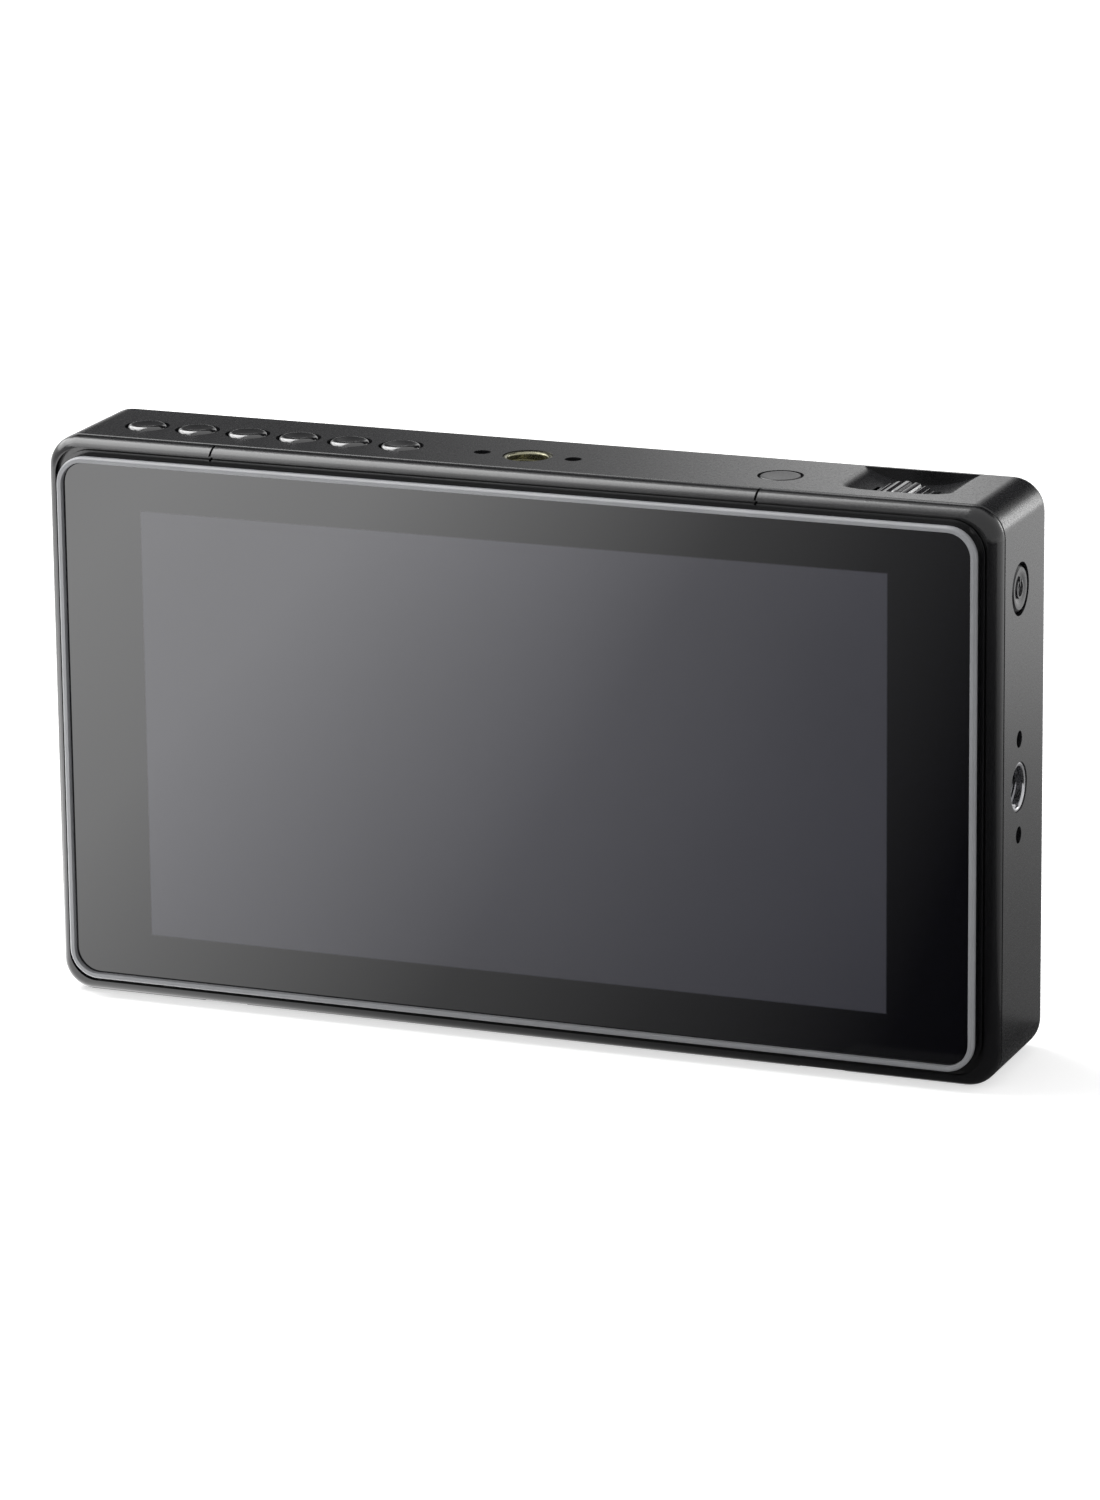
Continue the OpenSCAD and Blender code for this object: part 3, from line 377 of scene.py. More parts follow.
@dataclass(frozen=True)
class Moulded(Finish):
    """Injection-moulded plastic with a spark-eroded texture and a faint flow in its colour.

    The real texture is too fine to show, so it is drawn about three times as coarse."""

    colour: str
    flow_colour: str
    roughness: float
    rough_spread: float = 0.04
    flow: float = 9.0
    texture: float = 0.3
    texture_depth: float = 0.02
    ior: float = 1.49

    def surface(self, tree: Tree) -> dict:
        """Builds a plastic with rounded pits and a slow change of colour.

        Args:
            tree: The material's node tree.

        Returns:
            The surface shader's inputs.
        """
        place = self.coordinates(tree)
        low, high = self.roughness - self.rough_spread, self.roughness + self.rough_spread
        pits = add_node(
            tree, "ShaderNodeTexVoronoi", {"Vector": place, "Scale": 1 / self.texture},
            feature="SMOOTH_F1",
        ).outputs["Distance"]
        bumps = {"Height": pits, "Distance": self.texture_depth * MM, "Strength": 0.4}
        return {
            "Base Color": self.clouded(tree, place, self.flow, 2.0, self.colour, self.flow_colour),
            "Roughness": self.patches(tree, place, self.flow, 2.0, low, high),
            "IOR": self.ior,
            "Normal": add_node(tree, "ShaderNodeBump", bumps).outputs["Normal"],
        }


@dataclass(frozen=True)
class CoverGlass(Finish):
    """Strengthened glass with a black border printed on its back and a dark display bonded
    behind the clear part: a mirror-like black with a slightly lighter, bluish picture area."""

    border: str
    picture: str
    picture_edge: str
    picture_w: float
    picture_h: float
    centre_z: float
    fade: float = 0.35
    cloud: float = 60.0
    wipe: float = 8.0
    wipe_stretch: Point = (0.3, 1.0, 1.0)
    roughness: float = 0.045
    smoother: float = 0.01
    rougher: float = 0.015
    ior: float = 1.56

    def distance_inside(
        self, tree: Tree, place: Socket, axis: str, centre: float, half: float
    ) -> Socket:
        """Gives how far a point lies inside the picture area along one axis.

        Args:
            tree: The node tree.
            place: The place in millimetres.
            axis: "X" or "Z".
            centre: The middle of the picture area on that axis.
            half: Half its size on that axis.

        Returns:
            The distance from the nearer edge, negative outside.
        """
        along = add_node(tree, "ShaderNodeSeparateXYZ", {"Vector": place}).outputs[axis]
        off = add_node(tree, "ShaderNodeMath", {0: along, 1: centre}, operation="SUBTRACT")
        size = add_node(tree, "ShaderNodeMath", {0: off.outputs[0]}, operation="ABSOLUTE")
        return add_node(
            tree, "ShaderNodeMath", {0: half, 1: size.outputs[0]}, operation="SUBTRACT"
        ).outputs[0]

    def surface(self, tree: Tree) -> dict:
        """Builds the glass: the printed border, the picture area and its faint cell pattern.

        Args:
            tree: The material's node tree.

        Returns:
            The surface shader's inputs.
        """
        place = self.coordinates(tree)
        across = self.distance_inside(tree, place, "X", 0.0, self.picture_w / 2)
        up = self.distance_inside(tree, place, "Z", self.centre_z, self.picture_h / 2)
        inside = add_node(tree, "ShaderNodeMath", {0: across, 1: up}, operation="MINIMUM")
        edge = {"Value": inside.outputs[0], "From Min": 0.0, "From Max": self.fade}
        shown = add_node(tree, "ShaderNodeMapRange", edge, interpolation_type="SMOOTHSTEP")
        # the liquid-crystal cell is a little lighter in broad, faint clouds
        cell = self.clouded(tree, place, self.cloud, 1.0, self.picture, self.picture_edge)
        layers = {FACTOR: shown.outputs["Result"], FIRST: linear(self.border), SECOND: cell}
        # wiping leaves the polish a trace uneven
        wiped = self.coordinates(tree, self.wipe_stretch)
        low, high = self.roughness - self.smoother, self.roughness + self.rougher
        return {
            "Base Color": add_node(tree, "ShaderNodeMix", layers, data_type="RGBA").outputs[MIXED],
            "Roughness": self.patches(tree, wiped, self.wipe, 3.0, low, high),
            "IOR": self.ior,
        }


@dataclass(frozen=True)
class CircuitBoard(Finish):
    """Glass-fibre board under green solder mask: copper tracks show as lighter steps, and
    tinned pads stand in rows."""

    mask: str
    track: str
    pad: str
    pitch: float = 2.54
    pad_scatter: float = 0.35
    pad_core: float = 0.16
    pad_edge: float = 0.2
    track_rows: float = 0.5
    track_share: float = 0.03
    track_rise: float = 0.05
    roughness: float = 0.32

    def surface(self, tree: Tree) -> dict:
        """Builds the mask, the tracks under it and the pads.

        Args:
            tree: The material's node tree.

        Returns:
            The surface shader's inputs.
        """
        place = self.coordinates(tree)
        cells = add_node(
            tree, "ShaderNodeTexVoronoi",
            {"Vector": place, "Scale": 1 / self.pitch, "Randomness": self.pad_scatter},
            distance="CHEBYCHEV",
        )
        pads = add_node(
            tree, "ShaderNodeMapRange",
            {"Value": cells.outputs["Distance"], "From Min": self.pad_core,
             "From Max": self.pad_edge, "To Min": 1.0, "To Max": 0.0},
        ).outputs["Result"]
        mask = linear(self.mask)
        tracks = add_node(
            tree, "ShaderNodeTexBrick",
            {"Vector": place, "Scale": self.track_rows, "Mortar Size": self.track_share,
             "Color1": mask, "Color2": mask, "Mortar": linear(self.track)},
        )
        layers = {FACTOR: pads, FIRST: tracks.outputs["Color"], SECOND: linear(self.pad)}
        steps = {
            "Height": tracks.outputs["Fac"], "Distance": self.track_rise * MM, "Strength": 0.6
        }
        return {
            "Base Color": add_node(tree, "ShaderNodeMix", layers, data_type="RGBA").outputs[MIXED],
            "Metallic": pads,
            "Roughness": self.roughness,
            "IOR": 1.5,
            "Normal": add_node(tree, "ShaderNodeBump", steps).outputs["Normal"],
        }


@dataclass(frozen=True)
class Ribbon(Finish):
    """Flexible circuit: amber film over thin copper strips, side by side."""

    film: str
    copper: str
    band_scale: float = 0.5
    strip_edge: float = 0.1
    strip_rise: float = 0.03
    roughness: float = 0.28
    ior: float = 1.6

    def surface(self, tree: Tree) -> dict:
        """Builds the strips as bands across X.

        Args:
            tree: The material's node tree.

        Returns:
            The surface shader's inputs.
        """
        # twenty radians to the millimetre at a scale of one, so the strips lie 0.63 mm apart
        bands = add_node(
            tree, "ShaderNodeTexWave",
            {"Vector": self.coordinates(tree), "Scale": self.band_scale, "Distortion": 0.0},
            wave_type="BANDS", bands_direction="X",
        ).outputs["Fac"]
        edges = {
            "Value": bands, "From Min": 0.5 - self.strip_edge, "From Max": 0.5 + self.strip_edge
        }
        share = add_node(tree, "ShaderNodeMapRange", edges).outputs["Result"]
        layers = {FACTOR: share, FIRST: linear(self.film), SECOND: linear(self.copper)}
        steps = {"Height": share, "Distance": self.strip_rise * MM, "Strength": 0.5}
        return {
            "Base Color": add_node(tree, "ShaderNodeMix", layers, data_type="RGBA").outputs[MIXED],
            "Roughness": self.roughness,
            "IOR": self.ior,
            "Normal": add_node(tree, "ShaderNodeBump", steps).outputs["Normal"],
        }


@dataclass(frozen=True)
class Foam(Finish):
    """Closed-cell foam tape: matt, dark and pitted, with painted shade darkening the bottoms of its
    pits.
    """

    colour: str
    pit_shade_colour: str
    cell: float = 0.25
    cell_depth: float = 0.08
    roughness: float = 0.9

    def surface(self, tree: Tree) -> dict:
        """Builds the foam's cells as pits, and paints shade into the bottom of each pit.

        Args:
            tree: The material's node tree.

        Returns:
            The surface shader's inputs.
        """
        cells = add_node(
            tree, "ShaderNodeTexVoronoi",
            {"Vector": self.coordinates(tree), "Scale": 1 / self.cell},
        ).outputs["Distance"]
        # painted shade: each pit's colour darkens towards its bottom, where the bumps make it deepest
        layers = {FACTOR: cells, FIRST: linear(self.pit_shade_colour), SECOND: linear(self.colour)}
        pits = {"Height": cells, "Distance": self.cell_depth * MM, "Strength": 0.8}
        return {
            "Base Color": add_node(tree, "ShaderNodeMix", layers, data_type="RGBA").outputs[MIXED],
            "Roughness": self.roughness,
            "Normal": add_node(tree, "ShaderNodeBump", pits).outputs["Normal"],
        }


FINISHES: dict[str, Finish] = {
    # blasting before anodising leaves the housing an even satin black
    "housing_metal": Anodised("blasted_black_anodised", "18181a", "1c1c1e", roughness=0.27),
    # the front frame is smoother than the housing, so its round band takes clear highlights
    "frame_metal": Anodised("fine_black_anodised", "0e0e10", "121214", roughness=0.22, grain=0.25),
    # clear anodising over blasted metal scatters the light, so the rim is an even, soft grey
    "rim_metal": Anodised(
        "clear_anodised_edge", "98999c", "8e8f92", roughness=0.36, grain_depth=0.004
    ),
    # polished black glass, a mirror with a faintly bluish picture area
    "cover_glass": CoverGlass(
        "strengthened_cover_glass", "07070c", "47474f", "3f3f46",
        picture_w=120.96, picture_h=68.04, centre_z=44.8,
    ),
    # hidden pieces: matt foam, smooth dark and white plastic, bright sheet and plated screws
    "gasket_foam": Foam("foam_tape", "1c1c1c", "0a0a0a"),
    "display_panel": Moulded(
        "display_stack", "101018", "0c0c12", roughness=0.12, texture_depth=0.002
    ),
    "tray_plastic": Moulded("white_polycarbonate", "c9cbce", "bfc1c5", roughness=0.4),
    "chassis_metal": BareMetal(
        "rolled_aluminium", "c3c5c8", "b2b4b8", roughness=0.38, lines=Grain.ALONG_X
    ),
    "screw_steel": BareMetal("zinc_plated_steel", "b4b5b8", "9a9b9e", roughness=0.3),
    # glossy green board, a dull black chip and an amber film with copper strips
    "circuit_board": CircuitBoard("solder_masked_board", "0d3b26", "1c5a3a", "b9bcc0"),
    "chip_plastic": Moulded("moulded_epoxy", "141415", "1a1a1b", roughness=0.5),
    "flex_ribbon": Ribbon("polyimide_ribbon", "8a5a1c", "a8682c"),
    # keys are cut from bar and anodised with the housing, then their edges are polished
    "menu_key": Anodised(
        "polished_black_key", "0f0f11", "141416", roughness=0.15, grain=0.2, ior=1.9
    ),
    "assign_key": Anodised("satin_black_key", "18181a", "1c1c1e", roughness=0.33),
    "power_key": Anodised("satin_grey_key", "202022", "262628", roughness=0.28),
    # knurling burnishes the wheel, so its ridges catch bright lines
    "wheel_metal": Anodised(
        "knurled_black_wheel", "202022", "28282a", roughness=0.18, grain=0.2, ior=1.8
    ),
    # turned inserts: pale dull brass in the top and foot, bright steel in the side
    "insert_brass": BareMetal("turned_brass", "a3a18c", "83816c", roughness=0.24),
    "insert_steel": BareMetal("turned_stainless", "c4c4c6", "a4a4a8", roughness=0.24),
    # the back is matter than the housing: coarse anodising, blackened screws, dull nylon, and
    # a latch of red acetal that stands out from them
    "cover_metal": Anodised("pressed_black_cover", "151517", "19191b", roughness=0.42, grain=0.5),
    "black_screw": BareMetal("blackened_steel", "3c3c3f", "2c2c2f", roughness=0.32),
    "plate_plastic": Moulded(
        "black_glass_filled_nylon", "101011", "151516", roughness=0.5, texture_depth=0.03
    ),
    "latch_plastic": Moulded("red_acetal", "8e1f18", "821a14", roughness=0.38),
    # contacts and sockets: smooth gold, folded nickel-plated sheet, satin black jacks
    "contact_gold": BareMetal("gold_plated_contact", "e0b866", "cfa455", roughness=0.22),
    "socket_shell": BareMetal(
        "nickel_plated_shell", "b9babd", "a2a3a7", roughness=0.26, lines=Grain.ALONG_X
    ),
    "jack_plastic": Moulded("black_jack_plastic", "0c0c0d", "101011", roughness=0.42),
}


# ---------------------------------------------------------------- modelling helpers


def activate(piece: Piece) -> None:
    """Makes one piece the only selected and the active one.

    Args:
        piece: The piece.
    """
    bpy.ops.object.select_all(action="DESELECT")
    piece.select_set(True)
    bpy.context.view_layer.objects.active = piece


@contextmanager
def editing(piece: Piece) -> Iterator[None]:
    """Holds a piece in edit mode for the length of a with block.

    Args:
        piece: The piece.

    Yields:
        Nothing.
    """
    activate(piece)
    bpy.ops.object.mode_set(mode="EDIT")
    try:
        yield
    finally:
        bpy.ops.object.mode_set(mode="OBJECT")


def select(piece: Piece, kind: str, test: Callable[..., bool]) -> None:
    """Selects vertices or faces while the piece is in edit mode.

    Args:
        piece: The piece in edit mode.
        kind: "VERT" or "FACE".
        test: Says of a vertex or a face whether it is wanted.
    """
    bpy.ops.mesh.select_mode(type=kind)
    bpy.ops.mesh.select_all(action="DESELECT")
    mesh = bmesh.from_edit_mesh(piece.data)
    for element in mesh.verts if kind == "VERT" else mesh.faces:
        element.select_set(test(element))
    mesh.select_flush_mode()
    bmesh.update_edit_mesh(piece.data)


def face_outwards() -> None:
    """Turns all faces of the piece in edit mode outwards."""
    bpy.ops.mesh.select_all(action="SELECT")
    bpy.ops.mesh.normals_make_consistent(inside=False)


def open_bore(piece: Piece, radius: float) -> None:
    """Takes the two end discs out of a turned piece and joins their rings with a wall.

    Args:
        piece: The piece in edit mode, along Z.
        radius: Radius of the bore in the piece's own millimetres.
    """
    select(piece, "FACE", lambda face: face.calc_center_median().xy.length < NEAR_AXIS)
    bpy.ops.mesh.delete(type="ONLY_FACE")
    select(piece, "VERT", lambda vertex: vertex.co.xy.length < radius + TOUCH)
    bpy.ops.mesh.select_mode(type="EDGE")
    bpy.ops.mesh.bridge_edge_loops()
    face_outwards()


def smooth(piece: Piece, angle: float = 30.0) -> None:
    """Smooths the shading across edges flatter than angle degrees."""
    activate(piece)
    bpy.ops.object.shade_smooth_by_angle(angle=math.radians(angle))


def soften(piece: Piece, width: float, segments: int = 2, angle: float = 30.0) -> None:
    """Rounds a piece's sharp edges and smooths its round faces.

    Args:
        piece: The piece, in metres.
        width: Width of the rounding in millimetres.
        segments: Faces across the rounding.
        angle: Edges sharper than this many degrees are rounded.
    """
    activate(piece)
    bevel = piece.modifiers.new("edges", "BEVEL")
    bevel.width = width * MM
    bevel.segments = segments
    bevel.limit_method = "ANGLE"
    bevel.angle_limit = math.radians(angle)
    bevel.use_clamp_overlap = True
    bpy.ops.object.modifier_apply(modifier=bevel.name)
    smooth(piece, angle)
    weigh = piece.modifiers.new("normals", "WEIGHTED_NORMAL")
    weigh.keep_sharp = True
    weigh.weight = 100
    bpy.ops.object.modifier_apply(modifier=weigh.name)


def copy_of(node: str, name: str) -> Piece:
    """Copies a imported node's mesh into a new piece, with its triangles joined into faces.

    Args:
        node: The node's name.
        name: The new piece's name.

    Returns:
        The new piece.
    """
    source = bpy.data.objects[node]
    piece = bpy.data.objects.new(name, source.data.copy())
    bpy.context.scene.collection.objects.link(piece)
    piece.data.materials.clear()
    activate(piece)
    if piece.data.has_custom_normals:
        bpy.ops.mesh.customdata_custom_splitnormals_clear()
    with editing(piece):
        bpy.ops.mesh.select_all(action="SELECT")
        bpy.ops.mesh.remove_doubles(threshold=MERGE * MM)
        bpy.ops.mesh.dissolve_limited(angle_limit=math.radians(FLAT))
    return piece


def turned(name: str, profile: Sequence[tuple[float, float]], sides: int = 72) -> Piece:
    """Turns a piece as on a lathe: a disc is extruded ring by ring along a profile.

    Args:
        name: The piece's name.
        profile: Pairs of radius and height from one end disc to the other, in millimetres.
        sides: Faces round the piece.

    Returns:
        The piece, along +Z at the origin, still in millimetres.
    """
    (radius, height), *rest = profile
    bpy.ops.object.select_all(action="DESELECT")
    bpy.ops.mesh.primitive_circle_add(vertices=sides, radius=radius, fill_type="NGON")
    piece = bpy.context.active_object
    piece.name = name
    with editing(piece):
        bpy.ops.mesh.select_all(action="SELECT")
        bpy.ops.transform.translate(value=(0.0, 0.0, height))
        for next_radius, next_height in rest:
            step = (0.0, 0.0, next_height - height)
            bpy.ops.mesh.extrude_region_move(TRANSFORM_OT_translate={"value": step})
            share = next_radius / radius
            bpy.ops.transform.resize(
                value=(share, share, 1.0), center_override=(0.0, 0.0, next_height)
            )
            radius, height = next_radius, next_height
        face_outwards()
    return piece


def tapered_bar(size: Sequence[float], end: Point, taper: Sequence[float]) -> Piece:
    """Shapes a bar: a cube is stretched to its size and one of its ends is drawn in.

    Args:
        size: Width, depth and height in millimetres.
        end: Direction in which the drawn end looks.
        taper: Size of that end along X, Y and Z as shares of the bar's.

    Returns:
        The bar about the origin, still in millimetres.
    """
    bpy.ops.object.select_all(action="DESELECT")
    bpy.ops.mesh.primitive_cube_add(size=1.0)
    piece = bpy.context.active_object
    with editing(piece):
        bpy.ops.mesh.select_all(action="SELECT")
        bpy.ops.transform.resize(value=size)
        select(piece, "FACE", lambda face: face.normal.dot(Vector(end)) > FACING)
        bpy.ops.transform.resize(value=taper)
    return piece


class Side(Enum):
    """Side of the body that a piece drawn along +Z points out of, as turns about X, Y and Z."""

    TOP = (0.0, 0.0, 0.0)
    RIGHT = (0.0, 90.0, 0.0)
    BOTTOM = (180.0, 0.0, 0.0)
    BACK = (-90.0, 0.0, 0.0)


def seat(piece: Piece, side: Side, place: Sequence[float]) -> None:
    """Turns a piece from its own millimetres to its place on the body, and fixes it in its mesh.

    Args:
        piece: The piece, along +Z at the origin.
        side: The side that it points out of.
        place: Where its origin goes, in millimetres.
    """
    activate(piece)
    piece.scale = (MM, MM, MM)
    piece.rotation_euler = [math.radians(angle) for angle in side.value]
    piece.location = Vector(place) * MM
    bpy.ops.object.transform_apply(location=True, rotation=True, scale=True)


def join(pieces: Sequence[Piece]) -> Piece:
    """Joins pieces into the first of them.

    Args:
        pieces: The pieces.

    Returns:
        The first piece, which now holds them all.
    """
    activate(pieces[0])
    for piece in pieces[1:]:
        piece.select_set(True)
    bpy.ops.object.join()
    return pieces[0]


def dress(piece: Piece, slot: str) -> None:
    """Gives a piece the finish of a material slot, in place of any that it has."""
    piece.data.materials.clear()
    piece.data.materials.append(FINISHES[slot].material())


def hand_over(piece: Piece, slot: str, body: str, *nodes: str) -> None:
    """Dresses a finished piece, seats it on its body and reports it.

    Args:
        piece: The piece.
        slot: Its material slot.
        body: The body that it moves with.
        *nodes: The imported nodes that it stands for.
    """
    dress(piece, slot)
    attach(piece, body)
    if nodes:
        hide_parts(*nodes)
    LOG.info("%s: %d faces, %s, on %s", piece.name, len(piece.data.polygons), slot, body)


def centre_of(node: str) -> Vector:
    """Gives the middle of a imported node's box, in millimetres."""
    low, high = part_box(node)
    return (low + high) / (2 * MM)


# ---------------------------------------------------------------- the monitor's sub-assemblies


@dataclass
class Shells:
    """Machined and moulded shells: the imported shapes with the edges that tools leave."""

    housing_edge: float = 0.14
    frame_edge: float = 0.07
    rim_edge: float = 0.08
    glass_edge: float = 0.06
    cover_edge: float = 0.15
    plate_edge: float = 0.2

    def build(self) -> None:
        """Softens each shell by the size of its own edge."""
        shells = (
            ("main_housing", "housing_metal", self.housing_edge),
            ("front_frame", "frame_metal", self.frame_edge),
            ("bezel_rim", "rim_metal", self.rim_edge),
            ("cover_glass", "cover_glass", self.glass_edge),
            ("back_cover", "cover_metal", self.cover_edge),
            ("battery_plate", "plate_plastic", self.plate_edge),
        )
        for node, slot, width in shells:
            piece = copy_of(node, node + "_shell")
            soften(piece, width)
            hand_over(piece, slot, BODY, node)


@dataclass
class KeySet:
    """Round keys: six dished menu keys, a flush assign key and the power key in the side."""

    cap_r: float = 3.1
    flange_r: float = 3.9
    stem_r: float = 1.6
    stem_end: float = 4.4
    flange_top: float = 2.3
    flange_t: float = 0.8
    menu_keys: int = 6
    menu_proud: float = 0.35
    menu_edge: float = 0.9
    menu_dish: float = 0.15
    assign_edge: float = 0.2
    assign_dish: float = 0.05
    edge_steps: int = 6
    dish_steps: int = 5
    dish_reach: float = 0.97
    power_edge: float = 0.06

    def profile(self, proud: float, edge: float, dish: float) -> list[tuple[float, float]]:
        """Works out a key's outline from its stem to the middle of its cap.

        Args:
            proud: Height of the cap's rim over the body's face.
            edge: Radius of the cap's round edge.
            dish: Depth of the dished face.

        Returns:
            Pairs of radius and height.
        """
        outline = [
            (self.stem_r, -self.stem_end),
            (self.stem_r, -self.flange_top - self.flange_t),
            (self.flange_r, -self.flange_top - self.flange_t),
            (self.flange_r, -self.flange_top),
            (self.cap_r, -self.flange_top),
        ]
        for i in range(self.edge_steps + 1):
            turn = math.pi / 2 * i / self.edge_steps
            outline.append(
                (self.cap_r - edge * (1 - math.cos(turn)), proud - edge * (1 - math.sin(turn)))
            )
        face_r = self.cap_r - edge
        for i in range(1, self.dish_steps + 1):
            share = 1 - self.dish_reach * i / self.dish_steps
            outline.append((face_r * share, proud - dish * (1 - share**2)))
        return outline

    def build_key(self, node: str, slot: str, proud: float, edge: float, dish: float) -> None:
        """Turns one key and seats it in the top face where its node is.

        Args:
            node: The key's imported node, which is also its body.
            slot: Its material slot.
            proud: Height of the cap's rim over the body's face.
            edge: Radius of the cap's round edge.
            dish: Depth of the dished face.
        """
        piece = turned(node + "_cap", self.profile(proud, edge, dish))
        middle = centre_of(node)
        seat(piece, Side.TOP, (middle.x, middle.y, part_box(node)[1].z / MM - proud))
        smooth(piece)
        hand_over(piece, slot, node, node)

    def build(self) -> None:
        """Makes the keys of the top face and the power key."""
        for number in range(1, self.menu_keys + 1):
            self.build_key(
                f"menu_button_{number}", "menu_key", self.menu_proud, self.menu_edge, self.menu_dish
            )
        self.build_key("assign_button", "assign_key", 0.0, self.assign_edge, self.assign_dish)
        power = copy_of("power_button", "power_button_cap")
        soften(power, self.power_edge)
        hand_over(power, "power_key", "power_button", "power_button")


@dataclass
class ThumbWheel:
    """Wheel with straight knurls round its rim, free on its axle."""

    radius: float = 7.5
    width: float = 7.4
    bore_r: float = 1.5
    knurls: int = 30
    lines_per_knurl: int = 4
    knurl_depth: float = 0.5
    end_chamfer: float = 0.5
    edge: float = 0.12
    edge_angle: float = 25.0

    def build(self) -> None:
        """Cuts the knurls into a turned blank, then seats the wheel."""
        half = self.width / 2
        rim = self.radius - self.end_chamfer
        outline = [
            (self.bore_r, -half), (rim, -half), (self.radius, self.end_chamfer - half),
            (self.radius, half - self.end_chamfer), (rim, half), (self.bore_r, half),
        ]
        piece = turned("thumb_wheel_rim", outline, self.knurls * self.lines_per_knurl)
        with editing(piece):
            open_bore(piece, self.bore_r)
            self.press_knurls(piece)
        seat(piece, Side.BACK, centre_of("thumb_wheel"))
        soften(piece, self.edge, angle=self.edge_angle)
        hand_over(piece, "wheel_metal", "thumb_wheel", "thumb_wheel")

    def press_knurls(self, piece: Piece) -> None:
        """Draws one line of the rim in each knurl in towards the axis.

        Args:
            piece: The blank in edit mode.
        """
        sides = self.knurls * self.lines_per_knurl
        rim = self.radius - self.end_chamfer - TOUCH

        def in_knurl(vertex: bmesh.types.BMVert) -> bool:
            """Says whether a vertex lies on a line that is pressed in."""
            line = round(math.atan2(vertex.co.y, vertex.co.x) / math.tau * sides)
            return vertex.co.xy.length > rim and line % self.lines_per_knurl == 0

        select(piece, "VERT", in_knurl)
        share = (self.radius - self.knurl_depth) / self.radius
        bpy.ops.transform.resize(value=(share, share, 1.0), center_override=(0.0, 0.0, 0.0))


@dataclass
class ThreadInserts:
    """Turned inserts with a real quarter-inch thread of 1.27 mm pitch."""

    outer_r: float = 3.8
    major_r: float = 3.1
    minor_r: float = 2.62
    length: float = 6.5
    pitch: float = 1.27
    turns: int = 4
    ridge_share: float = 0.42
    ridge_start: float = 0.3
    chamfer: float = 0.22
    steps: int = 48
    edge: float = 0.16
    edge_angle: float = 40.0

    def sleeve(self, name: str) -> Piece:
        """Turns the insert's tube, from its upper face at z = 0 downwards.

        Args:
            name: The tube's name.

        Returns:
            The tube.
        """
        outline = [
            (self.major_r, -self.length), (self.outer_r, -self.length), (self.outer_r, 0.0),
            (self.major_r + self.chamfer, 0.0), (self.major_r, -self.chamfer),
        ]
        piece = turned(name, outline, self.steps)
        with editing(piece):
            open_bore(piece, self.major_r)
        return piece

    def ridge(self) -> Piece:
        """Winds the thread's ridge, a triangle that runs up the bore in a helix.

        Returns:
            The ridge, closed at its two ends.
        """
        bpy.ops.object.select_all(action="DESELECT")
        bpy.ops.mesh.primitive_circle_add(
            vertices=3, radius=self.pitch * self.ridge_share, fill_type="NOTHING"
        )
        piece = bpy.context.active_object
        with editing(piece):
            bpy.ops.mesh.select_all(action="SELECT")
            bpy.ops.transform.rotate(
                value=math.pi / 2, orient_axis="X", center_override=(0.0, 0.0, 0.0)
            )
            corners = [vertex.co for vertex in bmesh.from_edit_mesh(piece.data).verts]
            right = self.minor_r - min(corner.x for corner in corners)
            up = self.ridge_start - self.length - min(corner.z for corner in corners)
            bpy.ops.transform.translate(value=(right, 0.0, up))
        activate(piece)
        screw = piece.modifiers.new("thread", "SCREW")
        screw.axis = "Z"
        screw.screw_offset = self.pitch
        screw.iterations = self.turns
        screw.steps = self.steps
        screw.render_steps = self.steps
        screw.use_smooth_shade = False
        bpy.ops.object.modifier_apply(modifier=screw.name)
        with editing(piece):
            bpy.ops.mesh.select_mode(type="EDGE")
            bpy.ops.mesh.select_all(action="DESELECT")
            bpy.ops.mesh.select_non_manifold()
            bpy.ops.mesh.edge_face_add()
            face_outwards()
        return piece

    def build(self) -> None:
        """Makes the three inserts, each on its own side."""
        inserts = (
            ("top_thread_insert", Side.TOP, "insert_brass", Vector((0, 0, 1))),
            ("side_thread_insert", Side.RIGHT, "insert_steel", Vector((1, 0, 0))),
            ("bottom_thread_insert", Side.BOTTOM, "insert_brass", Vector((0, 0, -1))),
        )
        for node, side, slot, outwards in inserts:
            piece = join([self.sleeve(node + "_thread"), self.ridge()])
            seat(piece, side, centre_of(node) + outwards * self.length / 2)
            soften(piece, self.edge, angle=self.edge_angle)
            hand_over(piece, slot, BODY, node)


